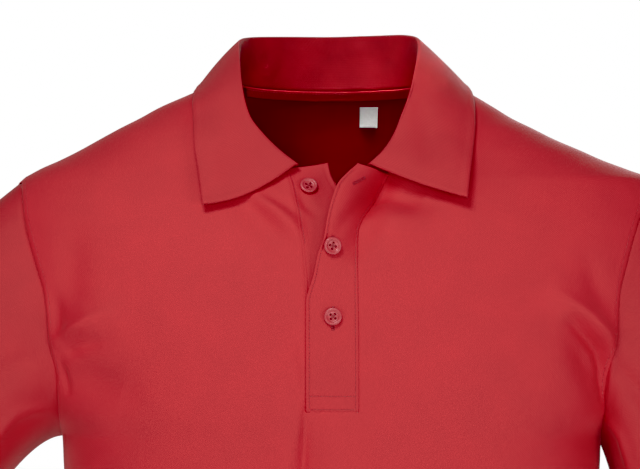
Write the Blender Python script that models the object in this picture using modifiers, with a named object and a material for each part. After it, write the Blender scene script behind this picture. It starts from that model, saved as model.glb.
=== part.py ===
"""A short-sleeved polo shirt, filled out as if worn, in metres with +Z up and the front facing -Y.

The origin is the centre of the neck opening, level with the tops of the shoulder seams. Every
panel is a sheet laid over one rounded torso form, then thickened. Right and left are the viewer's.
"""

import math

import bpy
import numpy as np
from mathutils import Matrix, Vector

CLOTH = 0.0016
COLLAR_CLOTH = 0.0017
BAND_CLOTH = 0.0014
TAPE_CLOTH = 0.0009
LABEL_CLOTH = 0.0006
SEAM = 0.0004
LAP = 0.0003

HEM_Z = -0.70
UNDERARM_Z = -0.26
BACK_STRIP_X = 0.014
SLIT_END_Z = -0.2372
BAND_PROUD = 0.0005

# The torso form: height, half width left, half width right, depth front, depth back, squareness.
FORM = (
    (0.000, 0.0780, 0.0780, 0.0300, 0.0300, 2.20),
    (-0.004, 0.0868, 0.0860, 0.0385, 0.0535, 2.20),
    (-0.0115, 0.1030, 0.1005, 0.0460, 0.0665, 2.20),
    (-0.0215, 0.1258, 0.1175, 0.0530, 0.0770, 2.20),
    (-0.0295, 0.1404, 0.1305, 0.0590, 0.0845, 2.20),
    (-0.0368, 0.1549, 0.1455, 0.0640, 0.0900, 2.20),
    (-0.0448, 0.1695, 0.1615, 0.0685, 0.0950, 2.20),
    (-0.0529, 0.1841, 0.1805, 0.0725, 0.1000, 2.20),
    (-0.0600, 0.1983, 0.1965, 0.0755, 0.1040, 2.20),
    (-0.0667, 0.2133, 0.2145, 0.0785, 0.1070, 2.20),
    (-0.0747, 0.2263, 0.2345, 0.0830, 0.1100, 2.20),
    (-0.0880, 0.2380, 0.2410, 0.0910, 0.1140, 2.20),
    (-0.1040, 0.2450, 0.2450, 0.0990, 0.1180, 2.20),
    (-0.1300, 0.2480, 0.2480, 0.1080, 0.1215, 2.20),
    (-0.1535, 0.2460, 0.2460, 0.1145, 0.1230, 2.20),
    (-0.1843, 0.2370, 0.2370, 0.1205, 0.1230, 2.22),
    (-0.2184, 0.2215, 0.2215, 0.1240, 0.1210, 2.25),
    (-0.2400, 0.2090, 0.2090, 0.1248, 0.1190, 2.28),
    (-0.2600, 0.1965, 0.1955, 0.1250, 0.1160, 2.30),
    (-0.2800, 0.1955, 0.1945, 0.1250, 0.1130, 2.30),
    (-0.3500, 0.1905, 0.1905, 0.1230, 0.1060, 2.30),
    (-0.4300, 0.1865, 0.1865, 0.1195, 0.1020, 2.30),
    (-0.5200, 0.1875, 0.1875, 0.1175, 0.1060, 2.30),
    (-0.6200, 0.1925, 0.1925, 0.1180, 0.1140, 2.30),
    (-0.7000, 0.1950, 0.1950, 0.1190, 0.1170, 2.30),
)

# Neck edges from the shoulder to the middle: distance from the middle, height.
NECK_FRONT_LEFT = (
    (0.0780, 0.0000), (0.0765, -0.0070), (0.0740, -0.0160), (0.0690, -0.0290),
    (0.0600, -0.0430), (0.0480, -0.0560), (0.0330, -0.0648),
)
NECK_FRONT_RIGHT = (
    (0.0780, 0.0000), (0.0765, -0.0070), (0.0740, -0.0160), (0.0690, -0.0290),
    (0.0620, -0.0410), (0.0520, -0.0550), (0.0405, -0.0665),
)
NECK_BACK = (
    (0.0780, 0.0000), (0.0740, -0.0020), (0.0640, -0.0042), (0.0480, -0.0060),
    (0.0280, -0.0070), (0.0140, -0.0075),
)
# Slit edges from the neck down: height, distance from the middle.
SLIT_LEFT = (
    (-0.0648, 0.0330), (-0.0793, 0.0283), (-0.1041, 0.0233), (-0.1247, 0.0204),
    (-0.1548, 0.0182), (-0.2372, 0.0182),
)
SLIT_RIGHT = (
    (-0.0665, 0.0405), (-0.0800, 0.0310), (-0.0893, 0.0262), (-0.0999, 0.0205),
    (-0.1113, 0.0172), (-0.1345, 0.0165), (-0.1897, 0.0171), (-0.2372, 0.0171),
)
# Armhole edges from the shoulder down: height, front left, front right, back.
ARMHOLE = (
    (-0.0747, 0.2263, 0.2345, 0.2300),
    (-0.0880, 0.2240, 0.2270, 0.2275),
    (-0.1040, 0.2214, 0.2198, 0.2235),
    (-0.1363, 0.2120, 0.2098, 0.2155),
    (-0.1535, 0.2067, 0.2055, 0.2105),
    (-0.1843, 0.2024, 0.2020, 0.2060),
    (-0.2184, 0.1983, 0.1983, 0.2015),
    (-0.2400, 0.1972, 0.1968, 0.1985),
    (-0.2600, 0.1965, 0.1955, 0.1960),
)

# Folds of the front and of the back: start x, start z, end x, end z, half width, height (- is in).
FOLDS_FRONT = (
    (0.0415, -0.0640, 0.0170, -0.1220, 0.0100, -0.0060),
    (0.0600, -0.0850, 0.0330, -0.1280, 0.0170, 0.0022),
    (-0.0500, -0.0850, -0.0260, -0.1130, 0.0085, 0.0035),
    (-0.0700, -0.0930, -0.0300, -0.1280, 0.0090, -0.0018),
    (-0.0190, -0.2400, -0.0240, -0.4300, 0.0130, -0.0045),
    (-0.0300, -0.2450, -0.0560, -0.4300, 0.0150, 0.0035),
    (-0.0020, -0.2600, 0.0010, -0.4800, 0.0180, 0.0028),
    (-0.1900, -0.1900, -0.1660, -0.1700, 0.0170, 0.0045),
    (-0.1880, -0.2120, -0.1500, -0.2250, 0.0150, -0.0050),
    (0.1650, -0.1560, 0.1980, -0.1900, 0.0150, 0.0045),
    (0.1720, -0.1800, 0.1930, -0.2260, 0.0120, -0.0060),
)
FOLDS_BACK = (
    (-0.1700, -0.1500, -0.1250, -0.3200, 0.0200, -0.0045),
    (0.1650, -0.1500, 0.1300, -0.3300, 0.0200, -0.0050),
    (-0.0600, -0.2600, -0.0450, -0.4600, 0.0300, -0.0040),
    (0.0550, -0.2900, 0.0650, -0.4800, 0.0280, -0.0035),
)
# Soft falls in the lower body: turn round the body from the right side, width, height at the hem.
DRAPES = (
    (0.42, 0.20, 0.0095), (0.88, 0.17, -0.0085), (1.30, 0.15, 0.0070), (1.72, 0.14, -0.0060),
    (2.10, 0.16, 0.0080), (2.55, 0.20, -0.0090), (2.98, 0.17, 0.0085), (3.52, 0.20, -0.0080),
    (3.95, 0.18, 0.0095), (4.42, 0.20, -0.0085), (4.90, 0.19, 0.0090), (5.35, 0.18, -0.0080),
    (5.85, 0.17, 0.0075), (6.20, 0.15, -0.0055),
)
# Sleeve folds: side, turn round the sleeve from its top over the front, half width of that turn,
# middle along the sleeve, half length, height.
SLEEVE_FOLDS = (
    (-1, 0.55, 0.45, 0.85, 0.45, 0.0040), (-1, 1.35, 0.40, 0.75, 0.40, -0.0045),
    (-1, 2.25, 0.35, 0.60, 0.45, 0.0040), (-1, 3.60, 0.45, 0.90, 0.40, -0.0045),
    (-1, 4.60, 0.40, 0.70, 0.45, 0.0045), (-1, 5.50, 0.40, 0.85, 0.40, -0.0035),
    (1, 0.75, 0.45, 0.80, 0.45, 0.0040), (1, 1.70, 0.35, 0.55, 0.40, -0.0045),
    (1, 2.35, 0.30, 0.75, 0.45, 0.0045), (1, 4.00, 0.45, 0.80, 0.40, -0.0045),
    (1, 4.95, 0.40, 0.65, 0.45, 0.0045), (1, 5.75, 0.35, 0.90, 0.40, -0.0035),
)

# Collar, from the left front end round the back to the right one. Fold x, y, z and edge x, y, z,
# the turn of the neck edge below it (0 is the left front end, 1 the right one), then its sag.
COLLAR = (
    (-0.0252, -0.0815, -0.0632, -0.0924, -0.0965, -0.0922, 0.000, 0.016),
    (-0.0298, -0.0800, -0.0600, -0.0929, -0.0945, -0.0884, 0.018, 0.014),
    (-0.0383, -0.0755, -0.0525, -0.0940, -0.0895, -0.0808, 0.054, 0.008),
    (-0.0484, -0.0690, -0.0425, -0.0962, -0.0790, -0.0660, 0.097, 0.003),
    (-0.0586, -0.0600, -0.0290, -0.0992, -0.0675, -0.0475, 0.147, 0.000),
    (-0.0632, -0.0490, -0.0145, -0.1000, -0.0535, -0.0325, 0.192, 0.000),
    (-0.0657, -0.0340, 0.0005, -0.1012, -0.0370, -0.0180, 0.240, 0.000),
    (-0.0672, -0.0130, 0.0150, -0.1008, -0.0110, -0.0100, 0.295, 0.000),
    (-0.0682, 0.0130, 0.0260, -0.0995, 0.0170, -0.0075, 0.352, 0.000),
    (-0.0655, 0.0360, 0.0315, -0.0945, 0.0440, -0.0090, 0.405, 0.000),
    (-0.0530, 0.0560, 0.0335, -0.0740, 0.0690, -0.0115, 0.450, 0.000),
    (-0.0300, 0.0655, 0.0340, -0.0400, 0.0815, -0.0130, 0.477, 0.000),
    (-0.0030, 0.0680, 0.0338, -0.0030, 0.0850, -0.0135, 0.500, 0.000),
    (0.0240, 0.0655, 0.0345, 0.0340, 0.0815, -0.0130, 0.523, 0.000),
    (0.0480, 0.0560, 0.0350, 0.0700, 0.0690, -0.0115, 0.550, 0.000),
    (0.0605, 0.0360, 0.0325, 0.0925, 0.0440, -0.0090, 0.595, 0.000),
    (0.0625, 0.0130, 0.0255, 0.1005, 0.0170, -0.0075, 0.648, 0.000),
    (0.0608, -0.0130, 0.0150, 0.1020, -0.0110, -0.0120, 0.705, 0.000),
    (0.0576, -0.0340, 0.0005, 0.1028, -0.0330, -0.0215, 0.760, 0.000),
    (0.0536, -0.0490, -0.0145, 0.1024, -0.0500, -0.0340, 0.808, 0.000),
    (0.0480, -0.0600, -0.0290, 0.1008, -0.0640, -0.0480, 0.853, 0.000),
    (0.0427, -0.0690, -0.0430, 0.0985, -0.0790, -0.0620, 0.903, 0.001),
    (0.0352, -0.0755, -0.0545, 0.0968, -0.0895, -0.0745, 0.946, 0.004),
    (0.0297, -0.0800, -0.0605, 0.0958, -0.0945, -0.0835, 0.982, 0.006),
    (0.0254, -0.0815, -0.0632, 0.0953, -0.0965, -0.0873, 1.000, 0.007),
)
COLLAR_FOLD_RADIUS = 0.0030
COLLAR_ENDS_X = (-0.0250, 0.0255)

# Upper band, height, free edge x, how far the free edge stands forward.
UPPER_BAND = (
    (-0.0640, 0.0170, 0.0120),
    (-0.0696, 0.0107, 0.0140),
    (-0.0774, 0.0036, 0.0150),
    (-0.0880, -0.0006, 0.0140),
    (-0.1021, -0.0042, 0.0110),
    (-0.1155, -0.0065, 0.0080),
    (-0.1267, -0.0105, 0.0050),
    (-0.1449, -0.0143, 0.0020),
    (-0.1610, -0.0179, 0.0000),
    (-0.2372, -0.0179, 0.0000),
)
# Under band: height, free edge x, how far the free edge stands back.
UNDER_BAND = (
    (-0.0625, -0.0034, 0.0050),
    (-0.0708, -0.0013, 0.0050),
    (-0.0779, 0.0023, 0.0045),
    (-0.0860, 0.0070, 0.0030),
    (-0.1021, 0.0105, 0.0012),
    (-0.1200, 0.0160, 0.0000),
    (-0.2372, 0.0164, 0.0000),
)

# Heights of each band's top corners, at its seam and at its free edge.
BAND_TOPS = {"upper": (-0.0678, -0.0632), "under": (-0.0660, -0.0622)}

# Sleeves: the cuff's upper corner x, z, lower corner x, z, middle y, depth, then how far below
# level the cloth leaves the shoulder and the underarm, in degrees, and its pull at the underarm.
SLEEVE_LEFT = (-0.3650, -0.2630, -0.2620, -0.3300, -0.0100, 0.0560, 34.0, -8.0, 0.80)
SLEEVE_RIGHT = (0.3280, -0.2900, 0.2130, -0.3260, -0.0100, 0.0560, 26.0, 72.0, 0.45)

BUTTON_DIAMETER = 0.0128
BUTTON_THICK = 0.0026
BUTTON_HOLE = 0.0016
# Buttons: x, z, and the band each rests on.
BUTTONS = (
    (-0.0172, -0.0800, "under"),
    (-0.0005, -0.1218, "upper"),
    (0.0000, -0.1715, "upper"),
)

RED = (0.49, 0.036, 0.048)


def eased(keys, values, at):
    """A smooth curve through the given values that never swings past them."""
    keys = np.asarray(keys, float)
    values = np.asarray(values, float)
    if keys[0] > keys[-1]:
        keys, values = keys[::-1], values[::-1]
    at = np.clip(np.asarray(at, float), keys[0], keys[-1])
    step = np.diff(keys)
    rise = np.diff(values) / step
    slope = np.zeros(len(keys))
    same = rise[:-1] * rise[1:] > 0
    first = 2 * step[1:] + step[:-1]
    second = step[1:] + 2 * step[:-1]
    middle = np.zeros(len(keys) - 2)
    middle[same] = (first + second)[same] / (
        first[same] / rise[:-1][same] + second[same] / rise[1:][same]
    )
    slope[1:-1] = middle
    slope[0], slope[-1] = rise[0], rise[-1]
    cell = np.clip(np.searchsorted(keys, at, side="right") - 1, 0, len(step) - 1)
    t = (at - keys[cell]) / step[cell]
    h = step[cell]
    return (
        values[cell] * (1 + 2 * t) * (1 - t) ** 2
        + slope[cell] * h * t * (1 - t) ** 2
        + values[cell + 1] * t * t * (3 - 2 * t)
        + slope[cell + 1] * h * t * t * (t - 1)
    )


def column(table, number):
    return [row[number] for row in table]


def form_at(z, side, face):
    """Half width, depth and squareness of the form; side -1 is left, face -1 is the front."""
    keys = column(FORM, 0)
    width = np.where(side < 0, eased(keys, column(FORM, 1), z), eased(keys, column(FORM, 2), z))
    depth = eased(keys, column(FORM, 3 if face < 0 else 4), z)
    return width, depth, eased(keys, column(FORM, 5), z)


def turn_at(x, z, side, face):
    """The turn of a point on the form, 0 at the side and a quarter turn in the middle."""
    width, _, square = form_at(z, side, face)
    share = np.clip(np.abs(x) / width, 0, 1)
    return np.arccos(share ** (square / 2))


def on_form(turn, z, side, face):
    width, depth, square = form_at(z, side, face)
    x = side * width * np.clip(np.cos(turn), 0, 1) ** (2 / square)
    y = face * depth * np.clip(np.sin(turn), 0, 1) ** (2 / square)
    return np.stack([x, y, z + 0 * x], axis=-1)


def form_y(x, z, face):
    """The form's depth at x and z, on its front or its back."""
    width, depth, square = form_at(z, np.sign(x), face)
    share = np.clip(1 - (np.abs(x) / width) ** square, 0, 1)
    return face * depth * share ** (1 / square)


def normals_of(grid):
    """Unit normals of a grid of points, along rows turned into columns."""
    across = np.gradient(grid, axis=1)
    down = np.gradient(grid, axis=0)
    found = np.cross(across, down)
    size = np.linalg.norm(found, axis=-1, keepdims=True)
    return found / np.maximum(size, 1e-12)


def near_segment(x, z, row):
    """1 on a fold's line, fading to 0 away from it."""
    x0, z0, x1, z1, width, _ = row
    run = (x1 - x0) ** 2 + (z1 - z0) ** 2
    t = np.clip(((x - x0) * (x1 - x0) + (z - z0) * (z1 - z0)) / run, 0, 1)
    gap = (x - x0 - t * (x1 - x0)) ** 2 + (z - z0 - t * (z1 - z0)) ** 2
    return np.exp(-gap / width**2) * (0.35 + 0.65 * np.sin(math.pi * (0.1 + 0.8 * t)))


def fold_height(points, face):
    """How far the cloth stands off the form at each point."""
    x, y, z = points[..., 0], points[..., 1], points[..., 2]
    side = np.where(x < 0, -1, 1)
    width, _, square = form_at(z, side, face)
    turn = np.arccos(np.clip(np.abs(x) / width, 0, 1) ** (square / 2))
    ease = np.clip(turn / 0.35, 0, 1)
    ease = ease * ease * (3 - 2 * ease)
    height = 0 * x
    for row in FOLDS_FRONT if face < 0 else FOLDS_BACK:
        height = height + row[5] * near_segment(x, z, row) * ease
    around = np.where(x < 0, math.pi - turn, turn)
    around = np.where(face < 0, 2 * math.pi - around, around)
    low = np.clip((-0.30 - z) / 0.40, 0, 1)
    for middle, spread, rise in DRAPES:
        away = (around - middle + math.pi) % (2 * math.pi) - math.pi
        height = height + rise * low**1.3 * np.exp(-((away / spread) ** 2))
    return height


def folded(grid, face, outward=1):
    """The grid moved off the form by its folds, along its normals."""
    normal = normals_of(grid)
    middle = normal[grid.shape[0] // 2, grid.shape[1] // 2]
    sign = 1 if middle[1] * face > 0 else -1
    return grid + sign * outward * normal * fold_height(grid, face)[..., None]


def blend_rows(inner, outer, shares, side, face):
    """Rows over the form from each inner point to the outer one: turn and height go evenly."""
    turns = inner[:, :1] + (outer[:, :1] - inner[:, :1]) * shares
    heights = inner[:, 1:] + (outer[:, 1:] - inner[:, 1:]) * shares
    return on_form(turns, heights, side, face)


def along(table, first, second, count, power=1.0):
    """Points evenly along a two-column edge, the first given as x and the second as height."""
    xs = np.array(column(table, first), float)
    zs = np.array(column(table, second), float)
    run = np.concatenate([[0], np.cumsum(np.hypot(np.diff(xs), np.diff(zs)))])
    at = np.linspace(0, 1, count) ** power * run[-1]
    return np.stack([eased(run, xs, at), eased(run, zs, at)], axis=1)


def armhole_edge(side, face, count):
    """Turn and height down the armhole, from the shoulder to the underarm."""
    which = 3 if face > 0 else (1 if side < 0 else 2)
    zs = np.linspace(0, 1, count)
    zs = ARMHOLE[0][0] + (UNDERARM_Z - ARMHOLE[0][0]) * (zs - 0.06 * np.sin(2 * math.pi * zs))
    xs = eased(column(ARMHOLE, 0), column(ARMHOLE, which), zs)
    turn = turn_at(xs, zs, side, face)
    turn[0] = 0
    turn[-1] = 0
    return np.stack([turn, zs], axis=1)


def seam_turn(turn, z, side, face):
    """Keeps a seam edge a little off the line where two panels meet."""
    _, depth, square = form_at(z, side, face)
    least = np.arcsin((SEAM / depth) ** (square / 2))
    return np.maximum(turn, least)


def half_panel(side, face, rows, columns):
    """One half of the front or back, from the middle edge out to the side."""
    top, chest, low = rows
    if face < 0:
        neck = NECK_FRONT_LEFT if side < 0 else NECK_FRONT_RIGHT
        slit = SLIT_LEFT if side < 0 else SLIT_RIGHT
        first = along(neck, 0, 1, top + 1)
        second = along(slit, 1, 0, chest + 1)[1:]
        last_x = second[-1, 0]
        third = np.stack(
            [np.full(low, last_x), np.linspace(SLIT_END_Z, HEM_Z, low + 1)[1:]], axis=1
        )
    else:
        first = along(NECK_BACK, 0, 1, top + 1)
        down = np.linspace(NECK_BACK[-1][1], SLIT_END_Z, chest + 1)[1:]
        second = np.stack([np.full(chest, BACK_STRIP_X), down], axis=1)
        down = np.linspace(SLIT_END_Z, HEM_Z, low + 1)[1:]
        third = np.stack([np.full(low, BACK_STRIP_X), down], axis=1)
    middle = np.concatenate([first, second, third])
    inner = np.stack([turn_at(middle[:, 0], middle[:, 1], side, face), middle[:, 1]], axis=1)
    inner[0, 0] = 0
    arm = armhole_edge(side, face, top + chest + 1)
    seam = np.stack([np.zeros(low), np.linspace(UNDERARM_Z, HEM_Z, low + 1)[1:]], axis=1)
    outer = np.concatenate([arm, seam])
    inner[:, 0] = seam_turn(inner[:, 0], inner[:, 1], side, face)
    outer[:, 0] = seam_turn(outer[:, 0], outer[:, 1], side, face)
    shares = np.linspace(0, 1, columns + 1)[None, :]
    return blend_rows(inner, outer, shares, side, face)


def panel_grid(face, rows, columns, middle):
    """A whole panel in one grid and the quads to leave out: the neck, and the front's slit."""
    left = half_panel(-1, face, rows, columns)[:, ::-1]
    right = half_panel(1, face, rows, columns)
    steps = np.linspace(0, 1, middle + 1)[1:-1]
    x = left[:, -1:, 0] + (right[:, :1, 0] - left[:, -1:, 0]) * steps
    z = left[:, -1:, 2] + (right[:, :1, 2] - left[:, -1:, 2]) * steps
    between = np.stack([x, form_y(x, z, face), z], axis=-1)
    grid = np.concatenate([left, between, right], axis=1)
    skip = np.zeros((grid.shape[0] - 1, grid.shape[1] - 1), bool)
    skip[: rows[0] + (rows[1] if face < 0 else 0), columns : columns + middle] = True
    return grid, skip


def sheet_object(name, grid, thickness, facing, skip=None, ring=False):
    """An open sheet made thick with Solidify; facing gives directions its outer side looks along."""
    count_down, count_across = grid.shape[:2]
    points = grid.reshape(-1, 3)
    quads = []
    last = count_across if ring else count_across - 1
    for i in range(count_down - 1):
        for j in range(last):
            if skip is not None and skip[i, j]:
                continue
            k = (j + 1) % count_across
            quads.append(
                (
                    i * count_across + j,
                    (i + 1) * count_across + j,
                    (i + 1) * count_across + k,
                    i * count_across + k,
                )
            )
    used = sorted({corner for quad in quads for corner in quad})
    renamed = {old: new for new, old in enumerate(used)}
    quads = [tuple(renamed[corner] for corner in quad) for quad in quads]
    points = points[used]
    corners = points[np.array(quads)]
    flat = np.cross(corners[:, 2] - corners[:, 0], corners[:, 3] - corners[:, 1])
    look = facing(corners.mean(axis=1))
    if (flat * look).sum() < 0:
        quads = [quad[::-1] for quad in quads]
    mesh = bpy.data.meshes.new(name)
    mesh.from_pydata([tuple(p) for p in points.tolist()], [], quads)
    mesh.update()
    mesh.shade_smooth()
    shape = bpy.data.objects.new(name, mesh)
    COLLECTION.objects.link(shape)
    wall = shape.modifiers.new("wall", "SOLIDIFY")
    wall.thickness = thickness
    wall.offset = -1
    wall.use_even_offset = True
    wall.use_rim = True
    return shape


def edge_ring(side):
    """The armhole's closed loop: down the front from the shoulder, then up the back."""
    front = armhole_edge(side, -1, SLEEVE_AROUND // 2 + 1)
    back = armhole_edge(side, 1, SLEEVE_AROUND // 2 + 1)[::-1]
    front_points = on_form(front[:, 0], front[:, 1], side, -1)
    back_points = on_form(back[:, 0], back[:, 1], side, 1)
    return np.concatenate([front_points, back_points[1:-1]])


def ring_directions(loop, side):
    """Ways out of the armhole: along the body's surface at the top, straight off it below."""
    count = len(loop)
    tangent = np.roll(loop, -1, axis=0) - np.roll(loop, 1, axis=0)
    tangent /= np.linalg.norm(tangent, axis=1, keepdims=True)
    middle = loop.mean(axis=0)
    inward = loop - middle
    away = np.stack([np.full(count, side * 0.075), 0.55 * inward[:, 1], 0 * inward[:, 2]], axis=1)
    share = np.clip((loop[:, 2] - UNDERARM_Z) / (ARMHOLE[0][0] - UNDERARM_Z), 0, 1)
    away[:, 0] = side * (0.055 + 0.02 * share)
    away[:, 1] = inward[:, 1] * 0.10
    away -= tangent * (away * tangent).sum(axis=1, keepdims=True)
    away /= np.linalg.norm(away, axis=1, keepdims=True)
    return away, share


def sleeve_grid(side, spec, rows):
    """Rings from the armhole to the cuff."""
    top_x, top_z, low_x, low_z, mid_y, depth, slope, dip, hold = spec
    loop = edge_ring(side)
    away, share = ring_directions(loop, side)
    count = len(loop)
    turn = np.arange(count) / count * 2 * math.pi
    upper = np.array([top_x, mid_y, top_z])
    lower = np.array([low_x, mid_y, low_z])
    middle = (upper + lower) / 2
    reach = (upper - lower) / 2
    axis = np.array([reach[2], 0, -reach[0]]) / np.linalg.norm(reach)
    if axis[2] > 0:
        axis = -axis
    cuff = (
        middle
        + np.cos(turn)[:, None] * reach
        + np.sin(turn)[:, None] * np.array([0, -depth, 0])
    )
    lean = math.radians(slope)
    out = np.array([side * math.cos(lean), 0, -math.sin(lean)])
    fall = math.radians(dip)
    steep = np.array([side * math.cos(fall), 0, -math.sin(fall)])
    start = share[:, None] ** 2 * out + (1 - share[:, None] ** 2) * steep
    start = start + away * 0.6 * (1 - share[:, None])
    start[:, 1] += away[:, 1] * 0.5
    start /= np.linalg.norm(start, axis=1, keepdims=True)
    begin = loop + away * 2 * SEAM + np.array([side * SEAM, 0, 0])
    run = np.linalg.norm(cuff - begin, axis=1, keepdims=True)
    pull = 0.95 * share[:, None] + hold * (1 - share[:, None])
    grid = []
    for t in rows:
        h00 = (1 + 2 * t) * (1 - t) ** 2
        h10 = t * (1 - t) ** 2
        h01 = t * t * (3 - 2 * t)
        h11 = t * t * (t - 1)
        grid.append(h00 * begin + h10 * pull * run * start + h01 * cuff + h11 * 0.9 * run * axis)
    grid = np.array(grid)
    centre = grid.mean(axis=1, keepdims=True)
    closed = np.concatenate([grid[:, -1:], grid, grid[:, :1]], axis=1)
    normal = normals_of(closed)[:, 1:-1]
    normal *= np.sign((normal * (grid - centre)).sum(axis=(1, 2)))[:, None, None]
    down = np.array(rows)[:, None]
    height = 0 * turn + 0 * down
    for which, middle_turn, spread, middle_down, reach_down, rise in SLEEVE_FOLDS:
        if which == side:
            away = (turn - middle_turn + math.pi) % (2 * math.pi) - math.pi
            ends = np.exp(-(((down - middle_down) / reach_down) ** 2)) * np.clip(down / 0.2, 0, 1)
            height = height + rise * ends * np.exp(-((away / spread) ** 2))
    return grid + normal * height[..., None]


def neck_ring(ends):
    """Neck edge points from the left front end round to the right one, with their turns."""
    points = [(ends[0], form_y(ends[0], -0.0652, -1), -0.0652)]
    for x, z in NECK_FRONT_LEFT[::-1]:
        turn = turn_at(x, z, -1, -1) if x < 0.078 else 0
        points.append(tuple(on_form(turn, z, -1, -1)))
    for x, z in NECK_BACK[1:]:
        points.append(tuple(on_form(turn_at(x, z, -1, 1), z, -1, 1)))
    for x, z in NECK_BACK[-2:0:-1]:
        points.append(tuple(on_form(turn_at(x, z, 1, 1), z, 1, 1)))
    for x, z in NECK_FRONT_RIGHT:
        turn = turn_at(x, z, 1, -1) if x < 0.078 else 0
        points.append(tuple(on_form(turn, z, 1, -1)))
    points.append((ends[1], form_y(ends[1], -0.0655, -1), -0.0655))
    points = np.array(points, float)
    run = np.concatenate([[0], np.cumsum(np.linalg.norm(np.diff(points, axis=0), axis=1))])
    return points, run / run[-1]


def spline_rows(table, turns):
    """Smooth values of every column of a table at even steps along it."""
    rows = np.array(table, float)
    step = np.linalg.norm(np.diff(rows[:, :3], axis=0), axis=1) + np.linalg.norm(
        np.diff(rows[:, 3:6], axis=0), axis=1
    )
    run = np.concatenate([[0], np.cumsum(step)])
    run /= run[-1]
    return np.stack([eased(run, rows[:, i], turns) for i in range(rows.shape[1])], axis=1)


def unit(vector):
    return vector / np.maximum(np.linalg.norm(vector, axis=-1, keepdims=True), 1e-12)


def collar_grid(turns, stand_steps, fold_steps, fall_steps):
    """Sections of the collar: up the stand, over the fold and down the fall."""
    rows = spline_rows(COLLAR, turns)
    ring, ring_turn = neck_ring(COLLAR_ENDS_X)
    base = np.stack([eased(ring_turn, ring[:, i], rows[:, 6]) for i in range(3)], axis=1)
    fold = rows[:, :3]
    edge = rows[:, 3:6]
    up = unit(fold - base)
    out = edge - fold
    out = unit(out - up * (out * up).sum(axis=1, keepdims=True))
    radius = COLLAR_FOLD_RADIUS
    centre = fold - up * radius + out * radius * 0.6
    first = base + up * (LAP + 0.0003)
    reach = edge - centre
    along_out = (reach * out).sum(axis=1)
    along_up = (reach * up).sum(axis=1)
    bend = np.clip(np.arctan2(along_out, along_up) - 0.16, 0.6, 3.0)
    begin = centre - out * radius
    lines = []
    for t in np.linspace(0, 1, stand_steps + 1)[:-1]:
        lines.append(first + (begin - first) * t)
    for t in np.linspace(0, 1, fold_steps + 1):
        angle = (bend * t)[:, None]
        lines.append(centre - out * radius * np.cos(angle) + up * radius * np.sin(angle))
    end = lines[-1]
    way = out * np.sin(bend)[:, None] + up * np.cos(bend)[:, None]
    span = np.linalg.norm(edge - end, axis=1, keepdims=True)
    control = end + way * span * 0.5
    control[:, 2] -= rows[:, 7]
    for t in np.linspace(0, 1, fall_steps + 1)[1:]:
        lines.append((1 - t) ** 2 * end + 2 * t * (1 - t) * control + t * t * edge)
    return np.array(lines)


def band_grid(kind, steps, shares):
    """A placket band from its seam at the slit to its free edge, steps going from top to end."""
    if kind == "upper":
        table, slit, side = UPPER_BAND, SLIT_RIGHT, 1
        sign, level = -1, BAND_PROUD
    else:
        table, slit, side = UNDER_BAND, SLIT_LEFT, -1
        sign, level = 1, BAND_PROUD - BAND_CLOTH - LAP
    seam_top, free_top = BAND_TOPS[kind]
    end = SLIT_END_Z + 0.0005
    at_seam = seam_top + (end - seam_top) * steps
    at_free = free_top + (end - free_top) * steps
    keys = column(table, 0)
    free = eased(keys, column(table, 1), at_free)
    stand = eased(keys, column(table, 2), at_free)
    seam = side * (eased(column(slit, 0), column(slit, 1), at_seam) - 0.0006)
    x = seam[:, None] + (free - seam)[:, None] * shares
    z = at_seam[:, None] + (at_free - at_seam)[:, None] * shares**1.5
    grid = folded(np.stack([x, form_y(x, z, -1), z], axis=-1), -1)
    normal = normals_of(grid)
    normal *= np.where(normal[..., 1:2] > 0, -1, 1)
    grid = grid + normal * level
    grid[..., 1] += sign * stand[:, None] * np.sin(shares * math.pi / 2) ** 1.3
    return grid


def surface_at(grid, x, z):
    """The point and outward normal of a band's outer side nearest to x and z."""
    normal = normals_of(grid)
    normal *= np.where(normal[..., 1:2] > 0, -1, 1)
    gap = (grid[..., 0] - x) ** 2 + (grid[..., 2] - z) ** 2
    weight = np.exp(-gap / 0.0040**2)
    weight /= weight.sum()
    point = (grid * weight[..., None]).sum(axis=(0, 1))
    way = unit((normal * weight[..., None]).sum(axis=(0, 1)))
    point = point + np.array([x - point[0], 0, z - point[2]])
    reach = np.linalg.norm(grid - point, axis=-1) < BUTTON_DIAMETER / 2
    return point + way * ((grid - point)[reach] @ way).max(), way


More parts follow.
